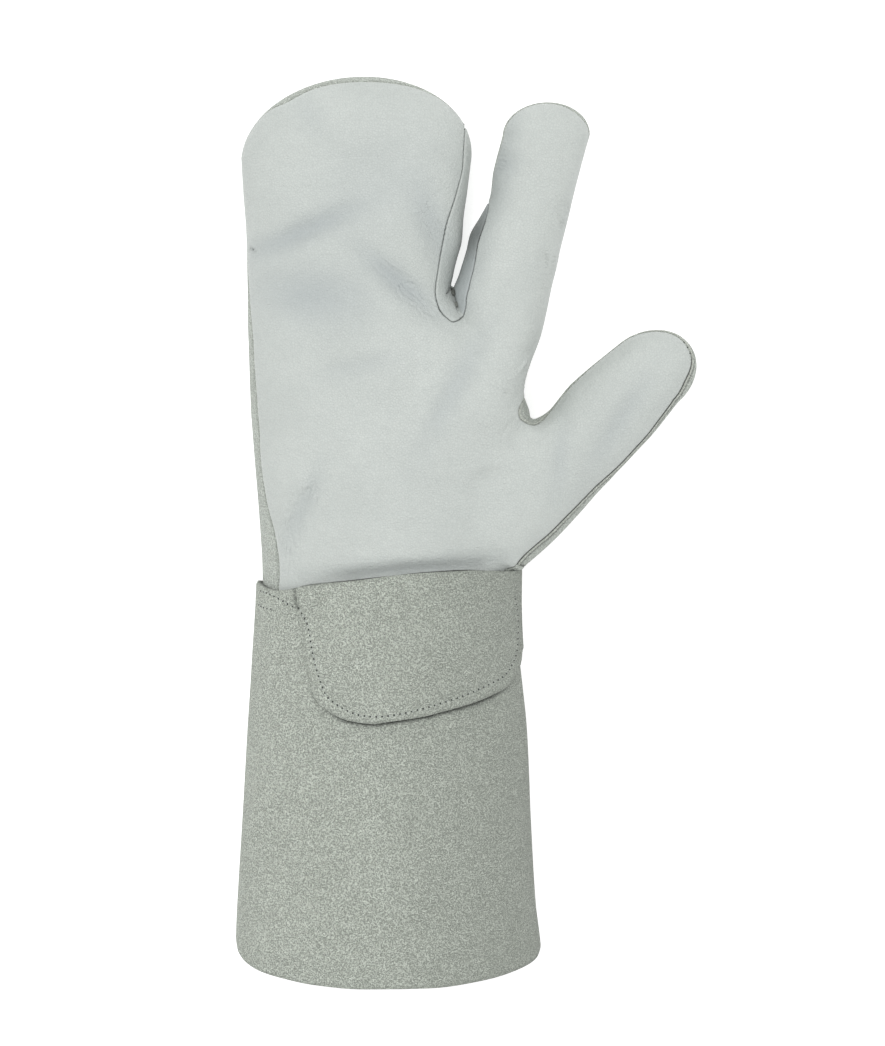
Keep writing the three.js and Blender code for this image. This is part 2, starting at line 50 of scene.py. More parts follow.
# The picture and the camera's view of the mitt
PICTURE_CENTRE = np.array([442.5, 523.0])  # pixels
PICTURE_HEIGHT = 1046  # pixels
PIXEL = 0.3838  # millimetres on the plane through the camera's target
VIEW_TILT = math.radians(8)
VIEW_DISTANCE = 1400
VIEW_TARGET = np.array([-8.73, 2.22, 30.0])
VIEW_UP = np.array([0, math.cos(VIEW_TILT), -math.sin(VIEW_TILT)])
VIEW_AWAY = np.array([0, math.sin(VIEW_TILT), math.cos(VIEW_TILT)])  # from the target to the camera
SENSOR = 36

# The studio, in metres
WHITE = (1.0, 1.0, 1.0, 1)
WORLD_LIGHT = 0.72
LIGHTS = (  # name, place, size, power
    ("soft_key", (-0.38, 0.62, 1.8), 0.75, 16.8),
    ("soft_fill", (0.9, -0.1, 1.7), 1.4, 5),
)
LIGHT_AIM = Vector((0, 0, 0.03))
FLOOR_SIDE = 4.0  # half the floor's side

# Driving sizes
CROWN = 2.3  # roundness of a section above its widest height
FLAT = 2.7  # the same below it
THUMB_ANGLE = math.radians(-44)
THUMB_ROOT = np.array([20.7, 11.3, 0.0])
HAND_HEM = -28
LEATHER = 1.4
CUFF_LEATHER = 1.6
WELT_WIDTH = 0.95  # as seen from above
WELT_PROUD = 0.2
THUMB_ROLL = 0.4  # how far edges roll into the thumb's seam, as a share of what they do elsewhere
PATCH_LIFT = 0.35
CLEARANCE = 0.05  # least height of the leather's outer face
INNER_CLEARANCE = 0.2  # and of its inner face

# How the hand's tubes flow together
FINGER_BLEND = (0.4, 13)  # between pocket and index finger: in the gap, and how much more on the palm
THUMB_BLEND = (4.0, 8.2)  # between hand and thumb: at the back, and how much more on the palm
FLOOR_BLEND = 1.0
PALM_RISE = (22, 36)  # heights between which a section goes over to the palm side
GAP_START = (60, 86)  # between these the blend of the two fingers dies away

# The hand's skin as a mesh
CELL = 1.2
SKIN_BOX = ((-92, -34, -3), (94, 180, 56))
REFINING = ((1.8, 0.3), (0.9, 2), (0, 2))  # in each round: reach from a seam, least nearness to wrinkles
FINE_CREASE = 0.01  # and the depth of a dark crease beyond which it is refined too
SIDE_LEVEL = 20  # height of the hand's widest sections
SWELL_FADE = (3, 13)  # height from there at which the swell begins and is full
SEAM_ABOVE = 2  # the thumb's back is sewn in below this height over the palm's seam
FAR = 9.0  # stands for any distance that the welt doesn't reach
GAP_CREASE = (14, 72)  # least z and y of the crease in the finger gap
SEEN_FROM_ABOVE = (1.0, 1.0, 0.3)  # how much x, y and z count across the welt
BESIDE_SEAM = 2  # within this of the gusset or the thumb's back an edge counts as theirs
BACK, GUSSET, THUMB_BACK, PALM, WELT = range(5)  # labels of the hand's panels

# Soft waves in the leather: length, seed, height
HAND_SWELLS = ((38, 4, 0.3), (14, 9, 0.12))
WRINKLE_WARP = ((7, 31, 0.28), (3.2, 12, 0.16))
WRINKLE_BREAKS = (4.5, 77)
CUFF_SWELL = (46, 21, 0.8)
CUFF_RIPPLE = (17, 5, 0.22)

# The palm's bend where it goes in under the cuff, and between which places it comes in or ends
TUCK = {"reach": 3.2, "depth": 2.2}
TUCK_LEFT = (-66, -40)
TUCK_RIGHT = (4, 12)
TUCK_HEIGHT = (34, 44)

# Finishes, with colours as red, green, blue
PORE_SIZE = 0.95
NAP_SIZE = 0.5
# hollow, seam and inside are painted shade: in the dents and the finger gap, along seams and creases, and
# over the inner face
GRAIN = {
    "dull": (0.497, 0.528, 0.505), "pale": (0.550, 0.582, 0.556), "cloud": (0.449, 0.479, 0.463),
    "pore": (0.356, 0.383, 0.371), "hollow_shade": (0.366, 0.399, 0.403), "rim": (0.66, 0.69, 0.655),
    "seam": (0.055, 0.06, 0.055), "inside": (0.15, 0.16, 0.145),
}
# painted shade along seams and in the groove beside the patch
SUEDE_SEAM_SHADE = (0.04, 0.045, 0.038)
# the inner face painted dark as the shade inside the mitt
SUEDE_INSIDE_SHADE = (0.07, 0.075, 0.066)
SUEDES = {  # light, middle and dark flecks, and how strongly painted shade darkens the thumb's side
    "split_leather": ((0.80, 0.855, 0.785), (0.595, 0.642, 0.582), (0.40, 0.431, 0.382), 0.0),
    "cuff_suede": ((0.75, 0.805, 0.715), (0.52, 0.561, 0.493), (0.23, 0.251, 0.216), 0.56),
    "welt_suede": ((0.76, 0.80, 0.73), (0.62, 0.66, 0.59), (0.42, 0.45, 0.39), 0.0),
}
THREAD = ((0.36, 0.39, 0.36), (0.56, 0.59, 0.56))
# dark discs painted into the stitch holes as the shade inside them
HOLE_SHADE = ((0.03, 0.035, 0.03), (0.08, 0.085, 0.08))

# Sections of the tubes: at, left, right, top, mid, bottom
HAND = np.array([
    (-34, -78.5, 17.7, 50.0, 25.0, 2.3),
    (-14, -78.3, 17.9, 49.5, 24.0, 2.3),
    (5, -79.4, 19.4, 48.5, 22.0, -0.8),
    (30, -81.3, 21.5, 47.5, 21.0, -1.5),
    (45, -82.4, 24.7, 46.4, 20.5, -1.5),
    (50, -82.6, 23.3, 46.0, 20.2, -1.5),
    (56, -82.8, 21.0, 45.6, 20.0, -1.5),
    (70, -83.2, 20.5, 44.0, 19.5, -1.5),
    (80, -83.5, 12.0, 42.5, 19.0, -1.5),
    (86.5, -83.5, 0.5, 41.7, 19.0, -1.5),
    (92.5, -83.5, -5.2, 41.0, 18.8, -1.5),
    (99, -83.6, -4.6, 40.4, 18.5, -1.5),
    (105, -83.7, -3.2, 39.8, 18.4, -1.4),
    (111, -83.8, -1.5, 39.0, 18.2, -1.3),
    (121, -84.3, -0.7, 37.9, 17.8, -0.9),
    (130, -85.0, 0.6, 36.7, 17.5, -0.5),
    (143, -85.7, 2.2, 34.5, 17.5, 1.5),
])
INDEX = np.array([
    (34, 0.0, 17.0, 36.0, 20.0, 6.0),
    (52, -4.0, 21.0, 42.5, 19.5, 1.5),
    (64, -4.6, 24.7, 42.0, 19.0, 0.6),
    (75, -4.8, 28.8, 41.0, 19.0, 0.5),
    (86, -4.9, 31.4, 39.5, 18.8, 0.6),
    (92.5, -4.9, 32.7, 38.3, 18.6, 0.9),
    (98, -2.8, 34.0, 37.4, 18.5, 1.3),
    (102, -1.5, 35.0, 36.7, 18.3, 1.6),
    (108, 0.3, 36.2, 35.7, 18.2, 2.0),
    (114.5, 1.9, 37.8, 34.8, 18.1, 2.5),
    (121, 5.7, 39.4, 34.0, 18.0, 3.1),
    (128, 9.2, 41.0, 33.3, 18.0, 3.7),
    (138, 10.6, 43.5, 32.5, 18.0, 4.5),
    (152, 14.2, 47.3, 31.0, 18.0, 6.0),
])
THUMB = np.array([
    (-27, -6.0, 5.0, 31.0, 21.0, 11.0),
    (-21.5, -10.0, 11.5, 35.5, 21.5, 7.4),
    (-18.5, -11.6, 18.0, 37.0, 21.5, 6.3),
    (-14.5, -13.8, 18.9, 39.2, 21.5, 4.9),
    (0, -18.0, 19.9, 41.5, 21.5, 3.5),
    (12, -19.5, 19.8, 41.0, 21.0, 3.0),
    (24, -18.6, 19.2, 39.2, 20.5, 3.5),
    (28, -17.2, 19.2, 38.5, 20.3, 3.8),
    (31, -16.3, 19.2, 37.9, 20.2, 4.0),
    (35, -16.0, 19.1, 37.1, 20.1, 4.3),
    (40, -16.5, 19.1, 36.1, 19.9, 4.6),
    (46, -17.0, 19.0, 35.2, 19.7, 5.0),
    (55, -16.2, 18.8, 34.0, 19.5, 5.5),
    (70, -14.4, 17.2, 32.0, 19.5, 6.5),
])
CUFF = np.array([
    (-172, -89.0, 30.0, 67.0, 32.0, -1.5),
    (-160, -89.3, 29.3, 66.5, 32.0, -1.5),
    (-144, -88.6, 27.4, 64.5, 31.0, -1.5),
    (-110, -86.4, 25.4, 60.5, 29.0, -1.5),
    (-92, -85.3, 24.7, 58.5, 28.3, -1.5),
    (-74, -84.2, 23.7, 56.7, 27.5, -1.5),
    (-60, -83.2, 22.2, 55.2, 27.0, -1.5),
    (-46, -82.3, 20.7, 54.0, 26.5, -1.5),
    (-30, -81.2, 19.9, 52.5, 26.0, -1.4),
    (-12, -80.3, 20.0, 51.8, 25.5, -1.0),
])
HAND_TIP = {"length": 31.1, "drift": 3.0, "taper": 1.1}
INDEX_TIP = {"length": 12.4, "drift": 0.5, "taper": 0.95}
THUMB_TIP = {"length": 19.2, "drift": 1.7, "taper": 0.95}

# Dents in the palm side: x, y, turn in degrees, half length, half width, depth
DENTS = np.array([
    (-62, 116, 24, 24, 4.5, 2.2),
    (-13, 119, -68, 16, 6, 1.6),
    (-25, 97, -41, 18, 4.5, 2.3),
    (-58, 92, -4, 22, 11, 2.2),
    (-34, 134, 30, 28, 17, 0.7),
    (-40, 66, 14, 15, 4, 0.9),
    (-4, 58, 62, 24, 5, 1.5),
    (-62, 12, 66, 17, 3.5, 1.2),
    (36, 31, 84, 17, 3.5, 1.0),
    (59, 44, 58, 20, 4.5, 1.3),
    (-20, -10.5, 4, 34, 3.5, 1.0),
    (-59, 160, -55, 9, 5, 0.8),
    (13, 141, 0, 6, 4, 0.9),
    (40, 118, 78, 16, 3.5, 0.7),
])
DENT_FADE = (18, 26)  # heights between which the dents come in

# Patches of fine wrinkles: x, y, turn of the wrinkles in degrees, half length, half width, pitch, depth
WRINKLES = np.array([
    (-24, 96, -41, 19, 5, 1.9, 0.29),
    (-13, 120, -38, 11, 8, 1.7, 0.23),
    (-64, 12, 68, 18, 4.5, 2.1, 0.27),
    (-62, 120, 36, 16, 7, 1.8, 0.14),
    (37.5, 122, -35, 10, 8, 1.8, 0.24),
    (32.5, 104, -20, 10, 7, 1.9, 0.23),
    (14, 142, 5, 6, 5, 1.7, 0.22),
    (17, 60, -35, 8, 9, 1.8, 0.23),
    (38, 26, 70, 16, 5, 2.2, 0.18),
    (-22, 62, 70, 22, 9, 2.4, 0.11),
    (-50, -4, 30, 12, 6, 2.2, 0.13),
    (-57, 22, 60, 13, 5, 2.0, 0.26),
    (-66, -3, 80, 12, 4.5, 2.2, 0.26),
])

# Single creases: x, y, turn in degrees, half length, half width, depth; a depth below 0 is a ridge
CREASES = np.array([
    (-80.9, 108.8, -18, 1.4, 0.35, 0.55),
    (-79.8, 106.4, -12, 1.5, 0.4, 0.35),
    (22.3, 66, 49, 4.6, 0.7, -0.55),
    (15.6, 42, 50, 4.0, 0.6, 0.3),
    (-61.8, -15, 88, 6, 1.2, -0.6),
    (-56, 108, 62, 3.5, 1.1, -0.35),
    (-61, 109, 68, 4.5, 1.2, -0.35),
    (-4.2, 91, -76, 4.8, 0.36, 0.9),
    (-6.4, 93, 49, 2.0, 0.28, 0.8),
])
CLEAR_WRINKLE = 0.2  # wrinkles deeper than this get a finer mesh
DARK_CREASE = 0.4  # creases deeper than this get painted shade inside

# The painted shade on the index finger's side of the gap
SHADE_START = (80, 90)
SHADE_TURN = (0.15, 0.75)  # how far the leather faces the gap where the shade begins and where it is full
SHADE_OUTSIDE = 0.3  # on the palm's own panel, as a share of that on the gusset
SHADE_HOLLOW = 3.2
SHADE_DARK = 0.6
SHADE_MIDDLE = 115
SHADE_REACH = 9

# Edges of the panels
CROTCH_LINE = 0.15  # strength of the seam's painted shade line in the crotch, as a share of that along the thumb
CROTCH_END = (4, 12)  # across the thumb, where it goes over to its full strength
RIM_WIDTH = 1.4
CUFF_RIM = 1.2

# Posts of the seam between the palm side and the back: x, y, z
SEAM_POSTS = np.array([
    (-72.2, -24, 39.0), (-71.6, -12, 38.9), (-72.4, -5.3, 37.9), (-73.5, 1.7, 36.6), (-75.6, 9.5, 34.4),
    (-77.2, 18, 32.6), (-78.4, 29, 31.4), (-79.3, 43, 31.0), (-80.8, 66.5, 28.6), (-82.6, 89.5, 25.0),
    (-84, 107, 20.5), (-85, 125, 18.0), (-82, 148, 18.5), (-77, 159, 19.0), (-69, 165, 23.8),
    (-60, 169, 22.6), (-46, 172.3, 22.4), (-26, 171.6, 22.0), (-12, 167, 20.0), (-4, 160, 18.0),
    (0, 148, 17.5), (-4, 112, 17.5), (8, 132, 19.5), (12, 147, 20.5), (17, 158, 21.4),
    (26, 163.7, 20.6), (36, 163.5, 21.8), (43.5, 158.8, 23.4), (46, 151, 20.0), (43, 135, 16.5),
    (34, 100, 15.0), (27, 72, 15.0), (23.8, 58.5, 17.0), (22.8, 54.5, 27.0), (21, 51.5, 35.7),
    (19.5, 49.8, 37.9), (18.6, 47.6, 38.9), (19.5, 45.1, 37.8), (21.8, 43.3, 35.7), (24.9, 42.2, 32.7),
    (28.5, 43.1, 26.9), (31.3, 45, 25.1), (32.9, 47, 20.5), (35.2, 49.7, 20.5), (37.8, 53, 22.2),
    (42.8, 58.3, 21.7), (50, 65, 18.0), (62, 73, 19.0), (70.6, 76.7, 21.3), (79.5, 76.3, 22.1),
    (82.5, 74.4, 23.0), (84.4, 72.2, 24.0), (86.4, 66.6, 25.7), (84.2, 60.3, 28.2), (82.5, 56.5, 28.4),
    (79.8, 51.4, 27.3), (74.4, 44.5, 27.8), (66.8, 34.9, 28.0), (59.2, 26.5, 28.9), (52.6, 20.8, 31.4),
    (47.6, 15.7, 32.2), (41.8, 10.4, 34.2), (36.1, 5.2, 35.8), (30.4, -0.1, 36.3), (24.6, -5.5, 36.1),
    (20.2, -9.7, 36.6), (17.8, -12.8, 35.6), (16, -26, 36.0),
])
SEAM_STEPS = 4
SEAM_SPREAD = 4

# Where the thumb's own back is sewn in, seen from above, and the far corner of its space
THUMB_SET_IN = [(22, 62), (13, 50), (8, 36), (5, 20), (8, 4), (13, -6), (23, -13)]
THUMB_CORNER = [(100, -13), (100, 90), (40, 90)]

# Outlines and rows read from the picture, in its pixels
GUSSET_OUTLINE = [
    (478, 86), (467, 118), (464.7, 143.5), (463.9, 157.6), (462.9, 170), (459.4, 184),
    (455, 199.5), (448.2, 220), (445, 234), (440.5, 258), (437, 279), (435.6, 292.5),
    (437, 301), (441.3, 311.4), (450, 319.7), (455, 321), (462, 316.6), (465, 306),
    (465.8, 297.6), (468.9, 284), (474, 263), (477.5, 242.5), (484.4, 222), (487.8, 206.4),
    (487.2, 183), (487, 86),
]
PATCH_OUTLINE = [
    (292, 560), (294.6, 589), (299, 620), (305, 660), (309, 680), (313, 695), (318.6, 704.7),
    (328.8, 711.8), (338, 717), (350, 721), (372, 724), (388, 722), (420, 717.5), (435, 714),
    (458, 708), (477, 702), (495, 694), (509, 686), (519, 670), (524, 650), (530, 560),
]
PATCH_STITCHES = [
    (299, 608), (308, 626), (311.7, 648), (315.3, 664.7), (320.6, 682), (328, 697.6),
    (345.7, 710), (364, 716), (388, 716), (422, 709), (464, 695.5), (496.6, 680.6),
    (507, 672.4), (513.8, 660.5), (517.2, 647), (517.7, 619), (515, 599),
]
CUFF_TOP_STITCHES = [(260.7, 591), (268.6, 594), (280.8, 600), (290, 605.5), (298, 608)]
CUFF_SHORT_STITCHES = [(258.9, 605), (264.5, 608), (271, 609.3)]
POCKET_STITCHES = [(463.6, 121), (464.4, 135), (464.2, 150.4), (463.6, 159)]
THUMB_STITCHES = [(677, 336.3), (682.6, 341.3), (687, 347.5), (689.9, 354.3), (691, 360)]

CUFF_EDGE = np.array([  # upper edge of the cuff on the palm side: x, y
    (-81, -18.9), (-71.5, -19.9), (-59.3, -17.0), (-41.5, -14.6), (-20, -12.1), (0, -11.4),
    (12, -12.6), (22, -14.2),
])
CUFF_BACK_EDGE = {"left": -22, "right": -17.5}
CUFF_EDGE_LEVEL = -17  # where the width of that edge is measured
HEM = {"left": -158.8, "right": -161.0, "palm": -170, "back": -166}
CUFF_MIDDLE = -90.0
UPPER_SIDE = 26  # above this height the cuff's face is seen
CUFF_SIDE_LEVEL = 28  # height of its widest sections, whose leather is drawn tight
CUFF_TIGHT = (4, 16)  # height from there at which the swell begins and is full
CUFF_REST = (1.5, 7)  # the same above the floor
CUFF_GRID = {"round": 320, "long": 145}
GROOVE = {"width": 0.8, "depth": 0.5}  # in the cuff beside the patch, whose floor gets painted shade
PATCH_TURN = (math.radians(-55), math.radians(100))
PATCH_GRID = {"round": 250, "long": 110}
PATCH_LOWEST = -80
PATCH_SIDE_END = -46  # its lower end past the thumb's side
PATCH_LEFT = (-57, -41)  # where its left side goes over from thin to full
PATCH_CORNER = (-37, -31)  # where the upper corner of that side does
LOOSE_EDGE = {"x": -26, "half_length": 17, "reach": 7, "highest": -40, "lift": 0.9}
THREAD_SIZE = (0.55, 0.38, 0.2)  # length as a share of the pitch, width, height
HOLE_SHADE_SIZE = (0.8, 0.75, 0.24)
STITCH_PITCH = 2.25
POCKET_PITCH = 2.85
THUMB_PITCH = 1.9


def smoothstep(value, low, high):
    t = np.clip((value - low) / (high - low), 0, 1)
    return t * t * (3 - 2 * t)


def near(away, reach):
    """1 where away is 0, falling softly to 0 beyond reach."""
    return np.exp(-(away / reach) ** 2)


def rolled(away, reach):
    """How far an edge rolls down: 1 on the edge, 0 beyond reach."""
    return np.clip(1 - away / reach, 0, 1) ** 2


def smooth_column(rows, place, column):
    """The smooth curve through one column of a table, at any places along its first column."""
    keys = rows[:, 0]
    values = rows[:, column]
    slopes = np.gradient(values, keys)
    slopes[1:-1] = (values[2:] - values[:-2]) / (keys[2:] - keys[:-2])
    i = np.clip(np.searchsorted(keys, place, side="right") - 1, 0, len(keys) - 2)
    span = keys[i + 1] - keys[i]
    t = np.clip((place - keys[i]) / span, 0, 1)
    t2 = t * t
    t3 = t2 * t
    return ((2 * t3 - 3 * t2 + 1) * values[i] + (t3 - 2 * t2 + t) * span * slopes[i]
            + (3 * t2 - 2 * t3) * values[i + 1] + (t3 - t2) * span * slopes[i + 1])


def smooth_path(points, steps, closed=False):
    """A Catmull-Rom curve through points, with that many steps between two of them."""
    points = np.array(points, float)
    if closed:
        posts = np.vstack([points[-1], points, points[:2]])
    else:
        posts = np.vstack([2 * points[0] - points[1], points, 2 * points[-1] - points[-2]])
    t = np.arange(steps)[:, None] / steps
    path = []
    for a, b, c, d in zip(posts, posts[1:], posts[2:], posts[3:]):
        path.append(0.5 * (2 * b + (c - a) * t + (2 * a - 5 * b + 4 * c - d) * t ** 2
                           + (3 * b - a - 3 * c + d) * t ** 3))
    path = np.vstack(path)
    return path if closed else np.vstack([path, points[-1]])


def seen(points):
    """Where the camera sees points: right and up from the picture's centre, in millimetres."""
    offset = points + CENTRE_SHIFT - VIEW_TARGET
    share = VIEW_DISTANCE / (VIEW_DISTANCE - offset @ VIEW_AWAY)
    return np.stack([offset[:, 0] * share, (offset @ VIEW_UP) * share], axis=1)


def from_pixels(pixels):
    """Pixels of the picture as millimetres right and up from its centre."""
    return (np.array(pixels, float) - PICTURE_CENTRE) * (PIXEL, -PIXEL)


def line_distance(path, places):
    """Distance from places to the nearest part of a path of straight lines."""
    nearest = np.full(len(places), np.inf)
    for a, b in zip(path, path[1:]):
        along = b - a
        t = np.clip((places - a) @ along / (along @ along), 0, 1)
        nearest = np.minimum(nearest, np.linalg.norm(places - a - t[:, None] * along, axis=1))
    return nearest


def inside_outline(outline, places):
    """Distance to a closed outline, above 0 inside it."""
    ring = np.vstack([outline, outline[:1]])
    inside = np.zeros(len(places), bool)
    for a, b in zip(ring, ring[1:]):
        run, rise = b - a
        spans = (a[1] > places[:, 1]) != (b[1] > places[:, 1])
        inside ^= spans & (places[:, 0] < a[0] + (places[:, 1] - a[1]) / (rise or 1) * run)
    nearest = line_distance(ring, places)
    return np.where(inside, nearest, -nearest)


def soft_waves(points, length, seed):
    """Gentle swells of about that length, mostly between -1 and 1, the same for the same seed."""
    random = np.random.default_rng(seed)
    waves = 14
    total = np.zeros(len(points))
    for _ in range(waves):
        direction = random.normal(size=3)
        direction /= np.linalg.norm(direction)
        turns = points @ direction / (length * random.uniform(0.75, 1.5))
        total += np.sin(2 * math.pi * (turns + random.random()))
    return total / math.sqrt(waves)


def swells(points, rows):
    return sum(soft_waves(points, length, seed) * height for length, seed, height in rows)


# Distances to the leather's outer face

def tube_distance(points, rows, tip):
    """Distance to a tube with a rounded end, below 0 inside it."""
    x, y, z = points.T
    first, last = rows[0, 0], rows[-1, 0]
    at = np.clip(y, first, last)
    left, right, top, mid, bottom = (smooth_column(rows, at, i) for i in range(1, 6))
    reached = np.clip((y - last) / tip["length"], 0, None)
    narrowing = np.sqrt(np.clip(1 - reached ** 2, 0.04, 1)) ** (tip["taper"] - 1)
    middle = (left + right) / 2 + tip["drift"] * np.minimum(reached, 1)
    half = (right - left) / 2
    above = z > mid
    power = np.where(above, CROWN, FLAT)
    reach = np.where(above, top - mid, mid - bottom) * narrowing
    across = np.abs(x - middle) / half
    height = np.abs(z - mid) / reach
    round_about = np.maximum((across ** power + height ** power) ** (1 / power), 0.01)
    level = np.sqrt(round_about ** 2 + reached ** 2)
    side_slope = (across / round_about) ** (power - 1) / half
    rise_slope = (height / round_about) ** (power - 1) / reach
    share = round_about / level
    slope = np.sqrt((share * side_slope) ** 2 + (share * rise_slope) ** 2
                    + (reached / level / tip["length"]) ** 2)
    return np.maximum((level - 1) / slope, first - y)


def soft_union(a, b, blend):
    share = np.clip(0.5 + 0.5 * (b - a) / blend, 0, 1)
    return b + (a - b) * share - blend * share * (1 - share)


def to_thumb(points):
    """Points in the thumb's own directions."""
    x, y, z = (points - THUMB_ROOT).T
    cos, sin = math.cos(THUMB_ANGLE), math.sin(THUMB_ANGLE)
    return np.stack([cos * x + sin * y, cos * y - sin * x, z], axis=1)


def hand_distance(points):
    """Distance to the outside of the whole hand, below 0 inside it."""
    y, z = points[:, 1], points[:, 2]
    hand = tube_distance(points, HAND, HAND_TIP)
    index = tube_distance(points, INDEX, INDEX_TIP)
    thumb = tube_distance(to_thumb(points), THUMB, THUMB_TIP)
    on_palm = smoothstep(z, *PALM_RISE)
    below_gap = 1 - smoothstep(y, *GAP_START)
    body = soft_union(hand, index, FINGER_BLEND[0] + FINGER_BLEND[1] * on_palm * below_gap)
    body = soft_union(body, thumb, THUMB_BLEND[0] + THUMB_BLEND[1] * on_palm)
    return -soft_union(-body, z, FLOOR_BLEND)


def slope_of(distance, points):
    """Direction in which a distance grows, by its differences."""
    step = 0.05
    here = distance(points)
    slope = np.empty_like(points)
    for axis in range(3):
        moved = points.copy()
        moved[:, axis] += step
        slope[:, axis] = (distance(moved) - here) / step
    return here, slope


def onto_surface(distance, points, rounds=2):
    for _ in range(rounds):
        here, slope = slope_of(distance, points)
        steep = np.maximum((slope ** 2).sum(axis=1), 0.2)
        points = points - slope * (here / steep)[:, None]
    return points


# Meshes as arrays of points and triangles

def surface_net(distance, low, high, cell):
    """A mesh of the surface where a distance is 0: a point in each cell that it passes through."""
    axes = [np.arange(a, b + cell, cell) for a, b in zip(low, high)]
    shape = tuple(len(axis) for axis in axes)
    grid = np.stack(np.meshgrid(*axes, indexing="ij"), axis=-1).reshape(-1, 3)
    level = distance(grid).reshape(shape)
    inside = level < 0
    size = tuple(n - 1 for n in shape)
    corners = list(itertools.product((0, 1), repeat=3))
    count = sum(inside[tuple(slice(c, c + n) for c, n in zip(corner, size))].astype(int)
                for corner in corners)
    cells = np.argwhere((count > 0) & (count < 8))
    number = np.full(size, -1)
    number[tuple(cells.T)] = np.arange(len(cells))
    total = np.zeros((len(cells), 3))
    hits = np.zeros(len(cells))
    quads = []
    for axis in range(3):
        unit = np.eye(3, dtype=int)
        second, third = unit[(axis + 1) % 3], unit[(axis + 2) % 3]
        for j, k in itertools.product((0, 1), repeat=2):
            start = cells + j * second + k * third
            a = level[tuple(start.T)]
            b = level[tuple((start + unit[axis]).T)]
            crossed = (a < 0) != (b < 0)
            share = np.where(crossed, a / np.where(crossed, a - b, 1), 0)
            total += (start + share[:, None] * unit[axis]) * crossed[:, None]
            hits += crossed
        front = tuple(slice(0, -1) if i == axis else slice(1, -1) for i in range(3))
        behind = tuple(slice(1, None) if i == axis else slice(1, -1) for i in range(3))
        at = np.argwhere(inside[front] != inside[behind]) + second + third
        leaving = inside[tuple(at.T)]
        turns = ((0, 0), (1, 0), (1, 1), (0, 1))
        ring = np.stack([number[tuple((at - j * second - k * third).T)] for j, k in turns], axis=1)
        quads.append(np.where(leaving[:, None], ring, ring[:, ::-1]))
    points = np.array(low) + cell * total / hits[:, None]
    quads = np.vstack(quads)
    a, b, c, d = (points[quads[:, i]] for i in range(4))
    shorter = np.linalg.norm(a - c, axis=1) < np.linalg.norm(b - d, axis=1)
    one = np.vstack([quads[shorter][:, [0, 1, 2]], quads[shorter][:, [0, 2, 3]]])
    other = np.vstack([quads[~shorter][:, [0, 1, 3]], quads[~shorter][:, [1, 2, 3]]])
    return points, np.vstack([one, other])


def edges_of(triangles):
    """Each edge once, and the numbers of each triangle's three, opposite its corners in turn."""
    ends = np.sort(triangles[:, [[1, 2], [2, 0], [0, 1]]].reshape(-1, 2), axis=1)
    count = triangles.max() + 1
    keys, which = np.unique(ends[:, 0] * count + ends[:, 1], return_inverse=True)
    return np.stack([keys // count, keys % count], axis=1), which.reshape(-1, 3)


def split_edges(points, triangles, edges, sides, chosen, share):
    """Puts a new point on each chosen edge. Also gives each new triangle's old one."""
    number = np.full(len(edges), -1)
    number[chosen] = len(points) + np.arange(chosen.sum())
    a, b = edges[chosen].T
    t = share[chosen][:, None]
    points = np.vstack([points, points[a] * (1 - t) + points[b] * t])
    on = number[sides]
    count = (on >= 0).sum(axis=1)
    parts = []

    def add(mask, *triples):
        old = np.flatnonzero(mask)
        for triple in triples:
            parts.append((np.stack(triple, axis=1), old))

    add(count == 0, triangles[count == 0].T)
    for i in range(3):
        j, k = (i + 1) % 3, (i + 2) % 3
        one = (count == 1) & (on[:, i] >= 0)
        p, q, r, s = triangles[one, i], triangles[one, j], triangles[one, k], on[one, i]
        add(one, (p, q, s), (p, s, r))
        two = (count == 2) & (on[:, i] < 0)
        p, q, r = triangles[two, i], triangles[two, j], triangles[two, k]
        s, t = on[two, j], on[two, k]
        add(two, (p, t, s), (t, q, r), (t, r, s))
    three = count == 3
    (p, q, r), (s, t, u) = triangles[three].T, on[three].T
    add(three, (p, u, t), (u, q, s), (t, s, r), (u, s, t))
    return points, np.vstack([part for part, _ in parts]), np.concatenate([old for _, old in parts])


def refine(points, triangles, chosen, distance):
    """Halves the edges between chosen points, with the new points on the surface."""
    edges, sides = edges_of(triangles)
    old_count = len(points)
    half = np.full(len(edges), 0.5)
    points, triangles, _ = split_edges(points, triangles, edges, sides, chosen[edges].all(axis=1), half)
    points[old_count:] = onto_surface(distance, points[old_count:])
    return points, triangles


def cut(points, triangles, value, labels, only=None):
    """Splits triangles along the line where value is 0, and says which of them lie above it."""
    snap = 0.06
    value = np.where(np.abs(value) < snap, 0, value)
    edges, sides = edges_of(triangles)
    a, b = value[edges].T
    crossed = a * b < 0
    if only is not None:
        touched = np.zeros(len(edges), bool)
        touched[sides[only].ravel()] = True
        crossed &= touched
    share = np.where(crossed, a / np.where(crossed, a - b, 1), 0)
    joined = np.column_stack([points, value])
    joined, triangles, old = split_edges(joined, triangles, edges, sides, crossed, share)
    return joined[:, :-1], triangles, joined[:, -1][triangles].sum(axis=1) > 0, labels[old]


def normals_of(points, triangles):
    a, b, c = (points[triangles[:, i]] for i in range(3))
    faces = np.cross(b - a, c - a)
    normals = np.zeros_like(points)
    for i in range(3):
        for axis in range(3):
            normals[:, axis] += np.bincount(triangles[:, i], faces[:, axis], len(points))
    return normals / np.maximum(np.linalg.norm(normals, axis=1), 1e-9)[:, None]


def smoothed(points, triangles, rounds, amount=0.5):
    """Moves each point towards the middle of its neighbours."""
    edges, _ = edges_of(triangles)
    a, b = edges.T
    degree = np.maximum(np.bincount(a, minlength=len(points)) + np.bincount(b, minlength=len(points)), 1)
    for _ in range(rounds):
        total = np.empty_like(points)
        for axis in range(3):
            total[:, axis] = (np.bincount(a, points[b, axis], len(points))
                              + np.bincount(b, points[a, axis], len(points)))
        points = points + amount * (total / degree[:, None] - points)
    return points


